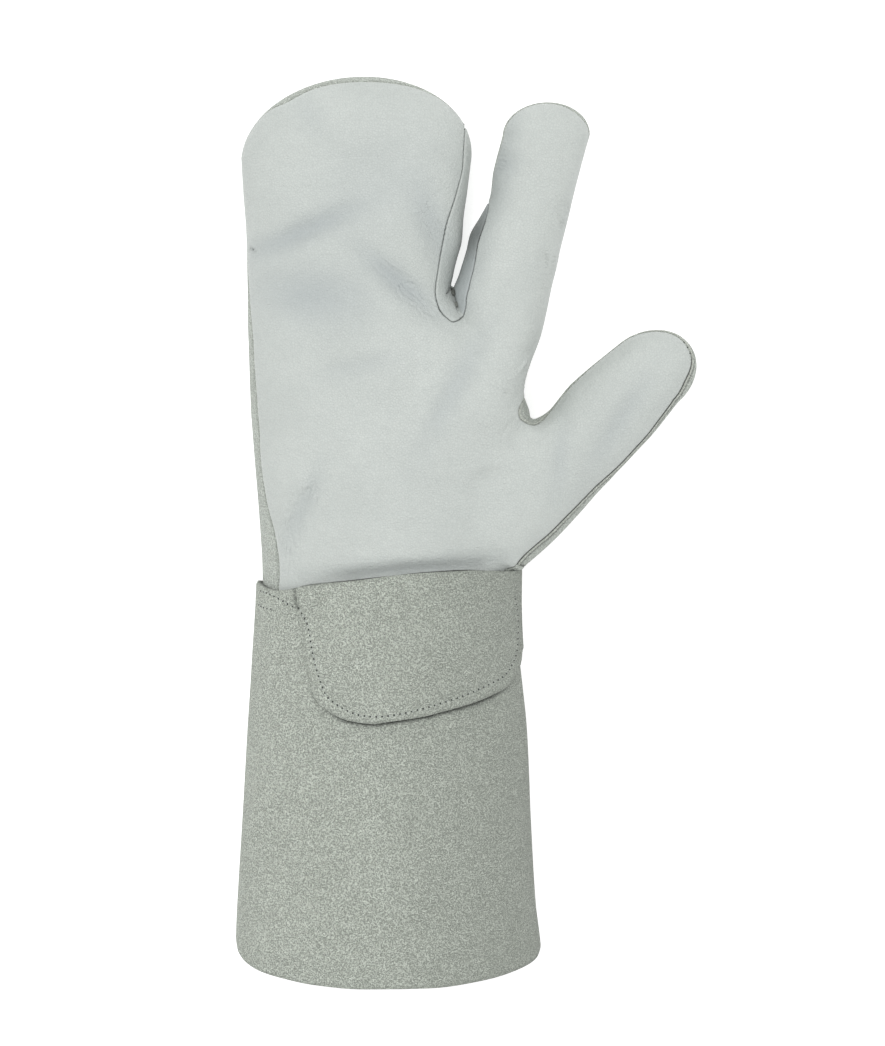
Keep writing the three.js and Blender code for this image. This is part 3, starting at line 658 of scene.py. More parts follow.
def border_edges(triangles):
    """The edges that one triangle alone has, in its own direction."""
    directed = triangles[:, [[1, 2], [2, 0], [0, 1]]].reshape(-1, 2)
    count = triangles.max() + 1
    ends = np.sort(directed, axis=1)
    _, which, times = np.unique(ends[:, 0] * count + ends[:, 1], return_inverse=True, return_counts=True)
    return directed[times[which.ravel()] == 1]


def edge_distance(points, triangles, lowest=-np.inf):
    """Distance from points to the sheet's edges, apart from edges that lie below lowest in y."""
    edge = points[np.unique(border_edges(triangles))]
    return distance_to(points, edge[edge[:, 1] > lowest])


def take(points, triangles, *extras):
    """Only the points that the triangles use."""
    used, numbers = np.unique(triangles, return_inverse=True)
    return (points[used], numbers.reshape(-1, 3), *(extra[used] for extra in extras))


def distance_to(places, targets):
    tree = KDTree(len(targets))
    for i, target in enumerate(targets):
        tree.insert(target, i)
    tree.balance()
    return np.array([tree.find(place)[2] for place in places])


def with_wall(points, triangles, normals, thickness):
    """The inner face of a sheet of leather and the edge round it, added to its outer face."""
    count = len(points)
    inner = points - normals * thickness
    inner[:, 2] = np.maximum(inner[:, 2], INNER_CLEARANCE)
    a, b = border_edges(triangles).T
    rim = np.vstack([np.stack([b, a, a + count], axis=1), np.stack([b, a + count, b + count], axis=1)])
    return np.vstack([points, inner]), np.vstack([triangles, triangles[:, ::-1] + count, rim])


def to_metres(points):
    return (points + CENTRE_SHIFT) * METRES


def placed(name, data):
    """A new object with that data, in the scene."""
    thing = bpy.data.objects.new(name, data)
    bpy.context.scene.collection.objects.link(thing)
    return thing


def set_inputs(node, **values):
    """Sets a node's inputs: base_color=... for the one called Base Color."""
    for key, value in values.items():
        node.inputs[key.replace("_", " ").title()].default_value = value


def mesh_object(name, points, triangles, material, values):
    """A leather's mesh, whose outer face is the first half of its points, with named values on it."""
    mesh = bpy.data.meshes.new(name)
    mesh.vertices.add(len(points))
    mesh.vertices.foreach_set("co", to_metres(points).astype(np.float32).ravel())
    mesh.loops.add(triangles.size)
    mesh.loops.foreach_set("vertex_index", triangles.astype(np.int32).ravel())
    mesh.polygons.add(len(triangles))
    mesh.polygons.foreach_set("loop_start", np.arange(0, triangles.size, 3, dtype=np.int32))
    mesh.update(calc_edges=True)
    mesh.validate()
    mesh.polygons.foreach_set("use_smooth", np.ones(len(mesh.polygons), bool))
    mesh.set_sharp_from_angle(angle=math.radians(50))
    # inside marks the inner face, which the finishes paint dark as its shade
    inside = np.repeat((0, 1), len(points) // 2)
    for key, column in {**values, "inside": inside}.items():
        attribute = mesh.attributes.new(key, "FLOAT", "POINT")
        attribute.data.foreach_set("value", np.resize(column, len(points)).astype(np.float32))
    mesh.materials.append(material)
    return placed(name, mesh)


def dress(piece, node):
    """Puts a finished piece in the place of its plain solid."""
    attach(piece, "root")
    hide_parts(node)


# Camera, light and floor

def make_camera():
    data = bpy.data.cameras.new("view")
    data.sensor_width = SENSOR
    data.lens = SENSOR * VIEW_DISTANCE / (PICTURE_HEIGHT * PIXEL)
    data.clip_end = 10
    camera = placed("view", data)
    camera.location = (VIEW_TARGET + VIEW_AWAY * VIEW_DISTANCE) * METRES
    camera.rotation_euler = (-VIEW_TILT, 0, 0)
    bpy.context.scene.camera = camera


def make_light(name, place, size, power):
    data = bpy.data.lights.new(name, "AREA")
    data.shape = "DISK"
    data.size = size
    data.energy = power
    light = placed(name, data)
    light.location = place
    light.rotation_euler = (LIGHT_AIM - Vector(place)).to_track_quat("-Z", "Y").to_euler()


def make_studio():
    """An even white world, two soft lights and a pale floor that stays white in the picture."""
    scene = bpy.context.scene
    scene.view_settings.view_transform = "Standard"
    scene.world = bpy.data.worlds.new("studio")
    scene.world.use_nodes = True
    set_inputs(scene.world.node_tree.nodes["Background"], color=WHITE, strength=WORLD_LIGHT)
    for light in LIGHTS:
        make_light(*light)
    mesh = bpy.data.meshes.new("floor")
    corners = [(x * FLOOR_SIDE, y * FLOOR_SIDE, 0) for x, y in ((-1, -1), (1, -1), (1, 1), (-1, 1))]
    mesh.from_pydata(corners, [], [(0, 1, 2, 3)])
    paper = bpy.data.materials.new("pale_floor")
    paper.use_nodes = True
    surface = paper.node_tree.nodes["Principled BSDF"]
    set_inputs(surface, base_color=(0.6, 0.6, 0.6, 1), roughness=0.9)
    set_inputs(surface, emission_color=WHITE, emission_strength=0.7)
    surface.inputs["Specular IOR Level"].default_value = 0.1
    mesh.materials.append(paper)
    placed("floor", mesh)


# Materials

class Finish:
    """A procedural material, with short calls for the nodes that the leathers need."""

    def __init__(self, name, roughness, sheen=0.0, specular=0.5):
        self.material = bpy.data.materials.new(name)
        self.material.use_nodes = True
        tree = self.material.node_tree
        self.nodes, self.links = tree.nodes, tree.links
        self.surface = self.nodes["Principled BSDF"]
        self.surface.inputs["Roughness"].default_value = roughness
        self.surface.inputs["Sheen Weight"].default_value = sheen
        self.surface.inputs["Specular IOR Level"].default_value = specular
        self.place = self.nodes.new("ShaderNodeTexCoord").outputs["Object"]

    def join(self, source, target):
        if isinstance(source, bpy.types.NodeSocket):
            self.links.new(source, target)
        else:
            target.default_value = source

    def add(self, kind, result, inputs, **settings):
        """Adds a node, sets or links its inputs and hands back one of its outputs."""
        node = self.nodes.new("ShaderNode" + kind)
        for key, value in settings.items():
            setattr(node, key, value)
        for key, source in inputs.items():
            self.join(source, node.inputs[key])
        return node.outputs[result]

    def noise(self, size, detail=3.0, rough=0.5, stretch=None, distortion=0.0):
        """Noise whose lumps are about size millimetres across."""
        place = self.place
        if stretch:
            place = self.add("Mapping", "Vector", {"Vector": place, "Scale": stretch})
        inputs = {"Vector": place, "Scale": 1 / (size * METRES), "Detail": detail}
        return self.add("TexNoise", "Fac", {**inputs, "Roughness": rough, "Distortion": distortion})

    def cells(self, size):
        """Distance to the edges between pebbles about size millimetres across."""
        inputs = {"Vector": self.place, "Scale": 1 / (size * METRES)}
        return self.add("TexVoronoi", "Distance", inputs, feature="DISTANCE_TO_EDGE")

    def side(self):
        """The place across the mitt, in metres."""
        return self.add("SeparateXYZ", "X", {"Vector": self.place})

    def value(self, name):
        return self.add("Attribute", "Fac", {}, attribute_name=name)

    def spread(self, source, low, high, to_low=0.0, to_high=1.0):
        inputs = {"Value": source, "From Min": low, "From Max": high, "To Min": to_low, "To Max": to_high}
        return self.add("MapRange", "Result", inputs)

    def sum(self, *terms):
        """The sum of sources, each with its weight."""
        total = 0.0
        for source, weight in terms:
            total = self.add("Math", 0, {0: source, 1: weight, 2: total}, operation="MULTIPLY_ADD")
        return total

    def mix(self, share, first, second):
        first, second = ((*side, 1) if isinstance(side, tuple) else side for side in (first, second))
        return self.add("Mix", "Result", {"Factor": share, "A": first, "B": second}, data_type="RGBA")

    def colour(self, source):
        self.join(source, self.surface.inputs["Base Color"])

    def bump(self, height, depth, strength=1.0):
        """Relief that is depth millimetres deep where height goes from 0 to 1."""
        inputs = {"Height": height, "Strength": strength, "Distance": depth * METRES}
        self.join(self.add("Bump", "Normal", inputs), self.surface.inputs["Normal"])


def grain_leather():
    """Smooth leather with pores, with painted shade in its dents, creases, seams and the finger gap, and
    over its inner face.
    """
    finish = Finish("grain_leather", 0.55, sheen=0.05, specular=0.3)
    base = finish.mix(finish.spread(finish.noise(34, 3, 0.5), 0.32, 0.68), GRAIN["dull"], GRAIN["pale"])
    for share, colour in (
        (finish.spread(finish.noise(4.5, 4, 0.6), 0.25, 0.75, 0.0, 0.35), "cloud"),
        (finish.spread(finish.cells(PORE_SIZE), 0.0, 0.14, 0.34, 0.0), "pore"),
        # painted shade in the dents and on the index finger's side of the gap
        (finish.spread(finish.value("hollow_shade"), 0.0, 2.6, 0.0, 0.8), "hollow_shade"),
        (finish.spread(finish.value("rim"), 0.3, 1.0, 0.0, 0.4), "rim"),
        # painted shade along the seams, in the deep creases and in the gap
        (finish.value("seam"), "seam"),
        # painted shade over the inner face
        (finish.spread(finish.value("inside"), 0.1, 0.7), "inside"),
    ):
        base = finish.mix(share, base, GRAIN[colour])
    finish.colour(base)
    pebbles = finish.spread(finish.cells(PORE_SIZE), 0.0, 0.18)
    fine = finish.noise(1.1, 2, 0.5, distortion=0.5)
    wrinkles = finish.noise(2.6, 4, 0.6, distortion=0.6)
    finish.bump(finish.sum((pebbles, 0.2), (fine, 0.7), (wrinkles, 0.7)), 0.45, 0.9)
    return finish.material


def split_leather(name):
    """Suede: light and dark flecks of nap, with painted shade that grows towards the thumb's side."""
    light, middle, dark, painted_shade = SUEDES[name]
    finish = Finish(name, 0.95, sheen=0.2, specular=0.15)
    finish.surface.inputs["Sheen Roughness"].default_value = 0.6
    pale = tuple(0.8 * a + 0.2 * b for a, b in zip(middle, light))
    base = finish.mix(finish.spread(finish.noise(26, 4, 0.55), 0.33, 0.67), middle, pale)
    flecks = finish.noise(NAP_SIZE, 1, 0.5, distortion=0.5)
    cloudy = finish.noise(7, 3, 0.6, stretch=(1.0, 0.6, 1.0))
    for share, colour in (
        (finish.spread(flecks, 0.49, 0.57, 0.0, 0.74), light),
        (finish.spread(flecks, 0.50, 0.42, 0.0, 0.64), dark),
        (finish.spread(cloudy, 0.3, 0.7, 0.0, 0.07), dark),
        # painted shade that darkens the suede towards the thumb's side
        (finish.spread(finish.side(), -0.035, 0.03, 0.0, painted_shade), dark),
        (finish.spread(finish.value("rim"), 0.2, 1.0, 0.0, 0.3), dark),
        # painted shade along the seams and in the groove beside the patch
        (finish.spread(finish.value("seam"), 0.0, 1.0, 0.0, 0.85), SUEDE_SEAM_SHADE),
        # painted shade over the inner face
        (finish.spread(finish.value("inside"), 0.1, 0.7, 0.0, 0.75), SUEDE_INSIDE_SHADE),
    ):
        base = finish.mix(share, base, colour)
    finish.colour(base)
    finish.bump(finish.sum((flecks, 1.0), (finish.noise(3.2, 3, 0.6), 0.08)), 1.9, 1.0)
    return finish.material


def thread_finish():
    finish = Finish("pale_thread", 0.8, sheen=0.2, specular=0.3)
    twist = finish.spread(finish.noise(0.35, 2, 0.5), 0.35, 0.65)
    finish.colour(finish.mix(twist, *THREAD))
    finish.bump(twist, 0.06)
    return finish.material


def hole_shade_finish():
    # dark discs painted as the shade inside the needle holes
    finish = Finish("stitch_hole_shade", 0.95, specular=0.1)
    finish.colour(finish.mix(finish.noise(0.4), *HOLE_SHADE))
    return finish.material


# The hand: its skin, then its panels

def seam_height(points):
    """Height of the seam between the palm side and the back, at places seen from above."""
    curve = smooth_path(SEAM_POSTS, SEAM_STEPS, closed=True)
    x, y = points[:, 0], points[:, 1]
    total = np.zeros(len(points))
    weights = np.zeros(len(points))
    for post in curve:
        weight = 1 / ((x - post[0]) ** 2 + (y - post[1]) ** 2 + SEAM_SPREAD ** 2) ** 2
        total += weight * post[2]
        weights += weight
    return total / weights


def gusset_value(points):
    outline = smooth_path(from_pixels(GUSSET_OUTLINE), 3, closed=True)
    return inside_outline(outline, seen(points))


def thumb_value(points):
    return inside_outline(THUMB_SET_IN + THUMB_CORNER, points[:, :2])


def crease_nearness(points):
    """How far points are from the crease where the two fingers meet in the gap."""
    hand = tube_distance(points, HAND, HAND_TIP)
    index = tube_distance(points, INDEX, INDEX_TIP)
    least_z, least_y = GAP_CREASE
    in_gap = (points[:, 2] > least_z) & (points[:, 1] > least_y)
    return np.where(in_gap, np.abs(hand - index), np.inf)


def seam_nearness(points):
    """About how far each point is from the nearest seam."""
    height = points[:, 2] - seam_height(points)
    gusset = gusset_value(points)
    thumb = np.where(height < SEAM_ABOVE, np.abs(thumb_value(points)), np.inf)
    seam = np.where(gusset < 1, np.abs(height), np.inf)
    return np.minimum(np.minimum(np.abs(gusset), thumb), np.minimum(seam, crease_nearness(points)))


def turned(points, x, y, turn):
    """Places seen from above, measured from x, y along a direction and across it."""
    cos, sin = math.cos(math.radians(turn)), math.sin(math.radians(turn))
    along = (points[:, 0] - x) * cos + (points[:, 1] - y) * sin
    across = (points[:, 1] - y) * cos - (points[:, 0] - x) * sin
    return along, across


def hollows(points, rows, power):
    """Depth of the hollows in rows. A higher power gives them fuller ends."""
    total = np.zeros(len(points))
    for x, y, turn, half_length, half_width, depth in rows:
        along, across = turned(points, x, y, turn)
        total += depth * np.exp(-(along / half_length) ** power - (across / half_width) ** 2)
    return total


def dent_depth(points):
    return hollows(points, DENTS, 2) * smoothstep(points[:, 2], *DENT_FADE)


def wrist_tuck(points):
    """How far the palm bends down where it goes in under the cuff."""
    x, y, z = points.T
    deep = near(np.maximum(y - smooth_column(CUFF_EDGE, x, 1), 0), TUCK["reach"]) * TUCK["depth"]
    deep *= smoothstep(x, *TUCK_LEFT) * (1 - smoothstep(x, *TUCK_RIGHT))
    return deep * smoothstep(z, *TUCK_HEIGHT)


def crease_depth(points, least):
    """Depth of the single creases that are deeper than least."""
    return hollows(points, CREASES[CREASES[:, 5] > least], 4)


def wrinkle_spots(points, rows):
    """For each patch of wrinkles: how near points are to its middle, its waves across, its depth."""
    for x, y, turn, half_length, half_width, pitch, depth in rows:
        along, across = turned(points, x, y, turn)
        fade = np.exp(-((along / half_length) ** 2 + (across / half_width) ** 2) ** 1.5)
        yield fade, across / pitch, depth


def wrinkle_fade(points):
    """How near points are to the middle of a patch of clear wrinkles."""
    clear = WRINKLES[WRINKLES[:, 6] > CLEAR_WRINKLE]
    nearest = np.max([fade for fade, _, _ in wrinkle_spots(points, clear)], axis=0)
    return nearest * (points[:, 2] > SIDE_LEVEL)


def fine_relief(points):
    """Depth of the fine wrinkles and single creases of the palm side."""
    total = np.zeros(len(points))
    warp = swells(points, WRINKLE_WARP)
    broken = 0.55 + 0.45 * soft_waves(points, *WRINKLE_BREAKS)
    for fade, waves, depth in wrinkle_spots(points, WRINKLES):
        total += depth * fade * broken * np.sin(2 * math.pi * (waves + warp))
    return (total + crease_depth(points, -1)) * smoothstep(points[:, 2], *DENT_FADE)


def hand_skin():
    """The outside of the whole hand, finer near the seams: smooth points, then dented ones."""
    points, triangles = surface_net(hand_distance, *SKIN_BOX, CELL)
    points = onto_surface(hand_distance, smoothed(points, triangles, 2))
    for reach, least_fade in REFINING:
        chosen = (seam_nearness(points) < reach) | (wrinkle_fade(points) > least_fade)
        chosen |= crease_depth(points, DARK_CREASE) > FINE_CREASE
        points, triangles = refine(points, triangles, chosen, hand_distance)
    swell = swells(points, HAND_SWELLS) * smoothstep(np.abs(points[:, 2] - SIDE_LEVEL), *SWELL_FADE)
    relief = swell - fine_relief(points)
    worn = points.copy()
    worn[:, 2] -= dent_depth(points) + wrist_tuck(points)
    worn += normals_of(worn, triangles) * relief[:, None]
    worn[:, 2] = np.maximum(worn[:, 2], CLEARANCE)
    return np.hstack([points, worn]), triangles


def welt_distance(points, triangles, labels):
    """Distance of the thumb's back from the palm's edge, counted mostly as it is seen from above."""
    low = points * SEEN_FROM_ABOVE
    behind = np.unique(triangles[labels == THUMB_BACK])
    seam = np.intersect1d(triangles[labels == PALM], behind)
    away = np.full(len(points), FAR)
    away[behind] = distance_to(low[behind], low[seam])
    return away


def hand_panels():
    """The skin's triangles for each panel, cut along the seams."""
    points, triangles = hand_skin()
    labels = np.full(len(triangles), BACK)
    points, triangles, kept, labels = cut(points, triangles, points[:, 1] - HAND_HEM, labels)
    points, triangles = take(points, triangles[kept])
    labels = labels[kept]
    points, triangles, inside, labels = cut(points, triangles, gusset_value(points[:, :3]), labels)
    labels = np.where(inside, GUSSET, BACK)
    points, triangles, inside, labels = cut(points, triangles, thumb_value(points[:, :3]), labels)
    labels = np.where((labels == BACK) & inside, THUMB_BACK, labels)
    for label in (BACK, THUMB_BACK):
        height = points[:, 2] - seam_height(points[:, :3])
        points, triangles, above, labels = cut(points, triangles, height, labels, labels == label)
        labels = np.where((labels == label) & above, PALM, labels)
    in_welt = WELT_WIDTH - welt_distance(points[:, :3], triangles, labels)
    points, triangles, beside, labels = cut(points, triangles, in_welt, labels, labels == THUMB_BACK)
    labels = np.where((labels == THUMB_BACK) & beside, WELT, labels)
    worn = points[:, 3:]
    normals = normals_of(worn, triangles)
    return [take(worn, triangles[labels == label], normals) for label in range(WELT + 1)]


def gap_shade(points, normals):
    """How far leather of the index finger turns away into the gap beside the pocket."""
    nearer = tube_distance(points, HAND, HAND_TIP) - tube_distance(points, INDEX, INDEX_TIP)
    on_index = smoothstep(nearer, 0, 2) * smoothstep(points[:, 1], *SHADE_START)
    return on_index * smoothstep(-normals[:, 0], *SHADE_TURN)


def make_panel(name, sheet, material, roll, depth, line, proud=0.0):
    """One leather panel: its edges rolled down into the seams, and its inner face."""
    points, triangles, normals = sheet
    away = edge_distance(points, triangles, HAND_HEM + 1)
    at_gusset = np.abs(gusset_value(points)) < BESIDE_SEAM
    at_thumb = thumb_value(points) > -BESIDE_SEAM
    under_thumb = CROTCH_LINE + (1 - CROTCH_LINE) * smoothstep(to_thumb(points)[:, 0], *CROTCH_END)
    tight = np.where(at_gusset, 1, at_thumb * under_thumb)
    drop = depth * rolled(away, roll) * np.where(at_thumb, THUMB_ROLL, 1)
    # painted shade on the index finger's side of the gap, strongest on the gusset
    painted_shade = gap_shade(points, normals) * (1 if name == "finger_gusset" else SHADE_OUTSIDE)
    # painted shade of the dents and of the gap, handed to the finish as a value
    hollow_shade = dent_depth(points) + SHADE_HOLLOW * painted_shade
    points = points + normals * (proud - drop)[:, None]
    outer, faces = with_wall(points, triangles, normals, LEATHER)
    # painted shade: a dark line along the seams and in the deep creases, with more of it in the gap
    dark = crease_depth(points, DARK_CREASE) * smoothstep(points[:, 2], *DENT_FADE)
    dark += SHADE_DARK * painted_shade ** 2 * near(points[:, 1] - SHADE_MIDDLE, SHADE_REACH)
    values = {
        "seam": np.clip(near(away, line) * tight + dark, 0, 1),
        "rim": near(away, RIM_WIDTH) * ~(at_gusset | at_thumb),
        "hollow_shade": hollow_shade,
    }
    piece = mesh_object(name, outer, faces, material, values)
    dress(piece, name)
    return piece


# The cuff and its patch

def cuff_points(turn, at):
    """Points of the cuff's face. turn: 0 at the crown, a quarter turn at the thumb's side."""
    left, right, top, mid, bottom = (smooth_column(CUFF, at, i) for i in range(1, 6))
    rise = np.cos(turn)
    side = np.sin(turn)
    power = 2 / np.where(rise >= 0, CROWN, FLAT)
    reach = np.where(rise >= 0, top - mid, mid - bottom)
    x = (left + right) / 2 + (right - left) / 2 * np.abs(side) ** power * np.sign(side)
    z = mid + reach * np.abs(rise) ** power * np.sign(rise)
    return np.stack([x, at, np.maximum(z, 0)], axis=-1)


def cuff_top(turn):
    x = cuff_points(turn, np.full_like(turn, CUFF_EDGE_LEVEL))[..., 0]
    palm_side = smooth_column(CUFF_EDGE, x, 1)
    left, right = CUFF_BACK_EDGE["left"], CUFF_BACK_EDGE["right"]
    back_side = left + (right - left) * (np.sin(turn) + 1) / 2
    return back_side + (palm_side - back_side) * smoothstep(np.cos(turn), -0.35, 0)


def cuff_hem(turn):
    rise = np.cos(turn)
    side = HEM["left"] + (HEM["right"] - HEM["left"]) * (np.sin(turn) + 1) / 2
    return side + (np.where(rise > 0, HEM["palm"], HEM["back"]) - side) * np.abs(rise)


def even_turns(first, last, count):
    """Turns that stand about equally far apart along the cuff's section."""
    turn = np.linspace(first, last, count * 8)
    points = cuff_points(turn, np.full_like(turn, CUFF_MIDDLE))
    length = np.concatenate([[0], np.cumsum(np.linalg.norm(np.diff(points, axis=0), axis=1))])
    return np.interp(np.linspace(0, length[-1], count), length, turn)


def grid_triangles(rows, columns, closed):
    """Triangles over a grid of points, whose last column may join its first."""
    i, j = np.meshgrid(np.arange(rows - 1), np.arange(columns if closed else columns - 1), indexing="ij")
    a = (i * columns + j).ravel()
    b = (i * columns + (j + 1) % columns).ravel()
    c, d = b + columns, a + columns
    return np.vstack([np.stack([a, d, c], axis=1), np.stack([a, c, b], axis=1)])


def cuff_swell(points):
    """Soft unevenness of the long cuff, which its patch follows."""
    stretched = points * (1.0, 0.55, 1.0)
    return swells(stretched, [CUFF_SWELL]) + swells(points, [CUFF_RIPPLE])


def row_channel(points, row):
    """How near points are to a row of stitches: 1 on it, 0 well away from it."""
    nearest = line_distance(smooth_path(from_pixels(row), 6), seen(points))
    return np.exp(-nearest ** 2) * (points[:, 2] > UPPER_SIDE)


def cuff_sheet(turns, closed, lower, long):
    """The cuff's face over some turns, from its upper edge to a lower one: points and triangles."""
    share = np.linspace(0, 1, long)[:, None]
    turn = np.broadcast_to(turns, (long, len(turns)))
    at = cuff_top(turn) * (1 - share) + lower(turn) * share
    points = cuff_points(turn, at).reshape(-1, 3)
    triangles = grid_triangles(long, len(turns), closed)
    normals = normals_of(points, triangles)
    z = points[:, 2]
    free = smoothstep(np.abs(z - CUFF_SIDE_LEVEL), *CUFF_TIGHT) * smoothstep(z, *CUFF_REST)
    points = points + normals * (cuff_swell(points) * free)[:, None]
    return points, triangles


def patch_rise(places):
    """How far the patch's edge stands off the cuff: pressed flat at its left side."""
    x, y = places.T
    corner = 0.45 * smoothstep(y, -35, -31) * (x < -50)
    return np.maximum(corner, smoothstep(x, -47, -36) * (1 - smoothstep(x, 18, 27)))


def make_cuff(material):
    turns = even_turns(-math.pi, math.pi, CUFF_GRID["round"] + 1)[:-1]
    points, triangles = cuff_sheet(turns, True, cuff_hem, CUFF_GRID["long"])
    normals = normals_of(points, triangles)
    rows = [row_channel(points, row) for row in (CUFF_TOP_STITCHES, CUFF_SHORT_STITCHES)]
    away = edge_distance(points, triangles)
    places = seen(points)
    beside = inside_outline(smooth_path(from_pixels(PATCH_OUTLINE), 4), places)
    groove = near(np.minimum(beside + 0.2, 0), GROOVE["width"])
    groove *= (points[:, 2] > UPPER_SIDE) * patch_rise(places)
    drop = 0.5 * rolled(away, 0.9) + 0.35 * np.maximum(*rows) + GROOVE["depth"] * groove
    points = points - normals * drop[:, None]
    outer, faces = with_wall(points, triangles, normals, CUFF_LEATHER)
    # the groove carries painted shade beside the patch's edge, through the seam value
    piece = mesh_object("cuff", outer, faces, material, {"seam": groove, "rim": near(away, CUFF_RIM)})
    dress(piece, "cuff")
    return piece


def make_patch(material):
    turns = even_turns(*PATCH_TURN, PATCH_GRID["round"])
    rows = PATCH_GRID["long"]
    points, triangles = cuff_sheet(turns, False, lambda turn: np.full_like(turn, PATCH_LOWEST), rows)
    normals = normals_of(points, triangles)
    outline = smooth_path(from_pixels(PATCH_OUTLINE), 4)
    value = inside_outline(outline, seen(points + normals * (PATCH_LIFT + CUFF_LEATHER)))
    past_side = np.tile(turns > math.pi / 2, rows)
    value = np.where(past_side, points[:, 1] - PATCH_SIDE_END, value)
    points, triangles, kept, _ = cut(points, triangles, value, np.zeros(len(triangles), int))
    points, triangles = take(points, triangles[kept])
    normals = normals_of(points, triangles)
    places = seen(points)
    x, y = places.T
    flat = 1 - smoothstep(x, *PATCH_LEFT) * 0.86
    flat -= 0.35 * smoothstep(y, *PATCH_CORNER) * (flat > 0.4)
    thickness = CUFF_LEATHER * np.where(flat < 0.2, 1, 1.14 - flat)
    away = edge_distance(points, triangles)
    along = (x - LOOSE_EDGE["x"]) / LOOSE_EDGE["half_length"]
    loose = np.exp(-along ** 2 - (away / LOOSE_EDGE["reach"]) ** 2) * (y < LOOSE_EDGE["highest"])
    drop = 0.4 * (thickness / CUFF_LEATHER) * rolled(away, 1.1)
    drop += 0.45 * row_channel(points, PATCH_STITCHES)
    points = points + normals * (PATCH_LIFT + thickness + LOOSE_EDGE["lift"] * loose - drop)[:, None]
    outer, faces = with_wall(points, triangles, normals, thickness[:, None])
    piece = mesh_object("wrist_patch", outer, faces, material, {"rim": near(away, CUFF_RIM)})
    dress(piece, "wrist_patch")
    return piece


# Stitches

def stitch_tree():
    """Geometry Nodes that set a row of short bodies along a curve, one at every pitch."""
    tree = bpy.data.node_groups.new("stitch_row", "GeometryNodeTree")
    face = tree.interface
    face.new_socket("Geometry", in_out="INPUT", socket_type="NodeSocketGeometry")
    for name in ("Pitch", "Start", "Length", "Width", "Height"):
        face.new_socket(name, in_out="INPUT", socket_type="NodeSocketFloat")
    face.new_socket("Finish", in_out="INPUT", socket_type="NodeSocketMaterial")
    face.new_socket("Geometry", in_out="OUTPUT", socket_type="NodeSocketGeometry")
    nodes, links = tree.nodes, tree.links
    given = nodes.new("NodeGroupInput")
    trim = nodes.new("GeometryNodeTrimCurve")
    trim.mode = "LENGTH"
    whole = nodes.new("GeometryNodeCurveLength")
    spots = nodes.new("GeometryNodeResampleCurve")
    spots.mode = "LENGTH"
    tangent = nodes.new("GeometryNodeInputTangent")
    lie = nodes.new("FunctionNodeAlignRotationToVector")
    lie.axis = "X"
    ball = nodes.new("GeometryNodeMeshUVSphere")
    set_inputs(ball, segments=8, rings=6, radius=0.5)
    size = nodes.new("ShaderNodeCombineXYZ")
    place = nodes.new("GeometryNodeInstanceOnPoints")
    real = nodes.new("GeometryNodeRealizeInstances")
    smooth = nodes.new("GeometryNodeSetShadeSmooth")
    finish = nodes.new("GeometryNodeSetMaterial")
    chain = (given, trim, spots, place, real, smooth, finish, nodes.new("NodeGroupOutput"))
    for before, after in zip(chain, chain[1:]):
        links.new(before.outputs[0], after.inputs[0])
    for before, output, after, target in (
        (given, "Geometry", whole, "Curve"),
        (given, "Start", trim, 4),
        (whole, "Length", trim, 5),
        (given, "Pitch", spots, "Length"),
        (ball, "Mesh", place, "Instance"),
        (tangent, "Tangent", lie, "Vector"),
        (lie, "Rotation", place, "Rotation"),
        (given, "Length", size, "X"),
        (given, "Width", size, "Y"),
        (given, "Height", size, "Z"),
        (size, "Vector", place, "Scale"),
        (given, "Finish", finish, "Material"),
    ):
        links.new(before.outputs[output], after.inputs[target])
    return tree


def on_leather(row, trees):
    """A row's path on the leather: what the camera sees at its places in the picture."""
    target = VIEW_TARGET - CENTRE_SHIFT
    start = Vector(to_metres(target + VIEW_DISTANCE * VIEW_AWAY))
    proud = 0.05 * METRES
    path = []
    for x, y in smooth_path(from_pixels(row), 8):
        aim = target + x * np.array([1, 0, 0]) + y * VIEW_UP
        way = (Vector(to_metres(aim)) - start).normalized()
        hits = [tree.ray_cast(start, way) for tree in trees]
        hits = [(far, place, normal) for place, normal, _, far in hits if place is not None]
        if hits:
            _, place, normal = min(hits, key=lambda hit: hit[0])
            path.append(place + normal * proud)
    return path


def stitch_row(tree, name, path, pitch, start, size, material):
    curve = bpy.data.curves.new(name, "CURVE")
    curve.dimensions = "3D"
    spline = curve.splines.new("POLY")
    spline.points.add(len(path) - 1)
    for point, place in zip(spline.points, path):
        point.co = (*place, 1)
    row = placed(name + "_path", curve)
    modifier = row.modifiers.new("stitches", "NODES")
    modifier.node_group = tree
    sizes = [value * METRES for value in (pitch, start, *size)]
    sockets = [socket for socket in tree.interface.items_tree if socket.in_out == "INPUT"]
    for socket, value in zip(sockets[1:], (*sizes, material)):
        modifier[socket.identifier] = value
    shape = row.evaluated_get(bpy.context.evaluated_depsgraph_get())
    mesh = bpy.data.meshes.new_from_object(shape)
    bpy.data.objects.remove(row)
    return mesh


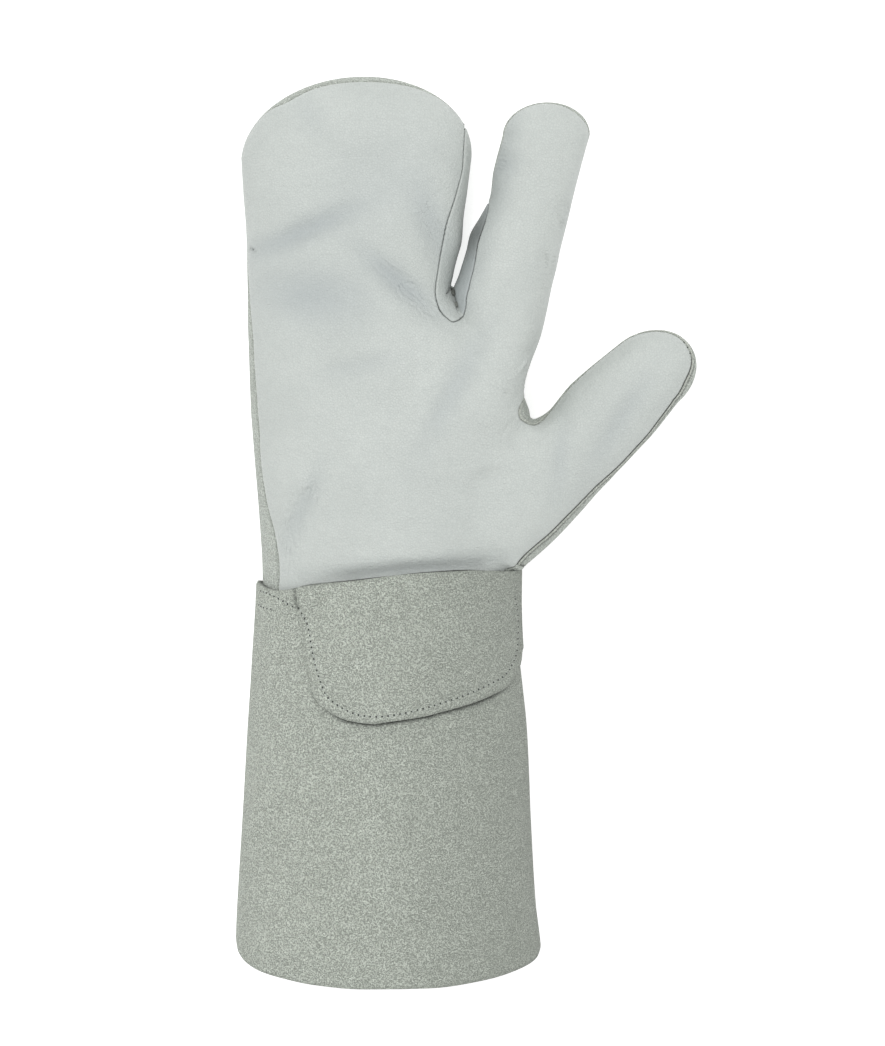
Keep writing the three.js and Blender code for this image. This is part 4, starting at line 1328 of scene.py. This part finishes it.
def join_meshes(name, meshes):
    pieces = [placed(name, mesh) for mesh in meshes]
    with bpy.context.temp_override(active_object=pieces[0], selected_editable_objects=pieces):
        bpy.ops.object.join()
    pieces[0].name = name
    return pieces[0]


def bvh(piece):
    return BVHTree.FromObject(piece, bpy.context.evaluated_depsgraph_get())


def make_stitches(cuff, patch, palm):
    tree = stitch_tree()
    thread, hole_shade = thread_finish(), hole_shade_finish()
    rows = (
        ("patch", PATCH_STITCHES, STITCH_PITCH, (patch,), "cuff_leather"),
        ("cuff_top", CUFF_TOP_STITCHES, STITCH_PITCH, (cuff, patch), "cuff_leather"),
        ("cuff_short", CUFF_SHORT_STITCHES, STITCH_PITCH, (cuff,), "cuff_leather"),
        ("pocket", POCKET_STITCHES, POCKET_PITCH, (palm,), "grain_leather"),
        ("thumb", THUMB_STITCHES, THUMB_PITCH, (palm,), "grain_leather"),
    )
    for name, row, pitch, pieces, slot in rows:
        path = on_leather(row, [bvh(piece) for piece in pieces])
        length, width, height = THREAD_SIZE
        threads = stitch_row(tree, name, path, pitch, pitch / 2, (pitch * length, width, height), thread)
        # dark discs painted into the needle holes as their shade
        hole_shades = stitch_row(tree, name, path, pitch, 0.0, HOLE_SHADE_SIZE, hole_shade)
        piece = join_meshes(name + "_stitches", [threads, hole_shades])
        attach(piece, "root")


make_camera()
make_studio()
grain = grain_leather()
suede, cuff_suede, welt_suede = (split_leather(name) for name in SUEDES)

sheets = hand_panels()
palm_piece = make_panel("palm", sheets[PALM], grain, roll=0.9, depth=0.65, line=0.18)
make_panel("finger_gusset", sheets[GUSSET], grain, roll=0.8, depth=0.7, line=0.2)
make_panel("back", sheets[BACK], suede, roll=1.1, depth=0.8, line=0.2)
make_panel("thumb_back", sheets[THUMB_BACK], suede, roll=0.7, depth=0.8, line=0.8)
make_panel("thumb_welt", sheets[WELT], welt_suede, 0.3, 0.1, 0.05, proud=WELT_PROUD)
cuff_piece = make_cuff(cuff_suede)
patch_piece = make_patch(cuff_suede)
make_stitches(cuff_piece, patch_piece, palm_piece)
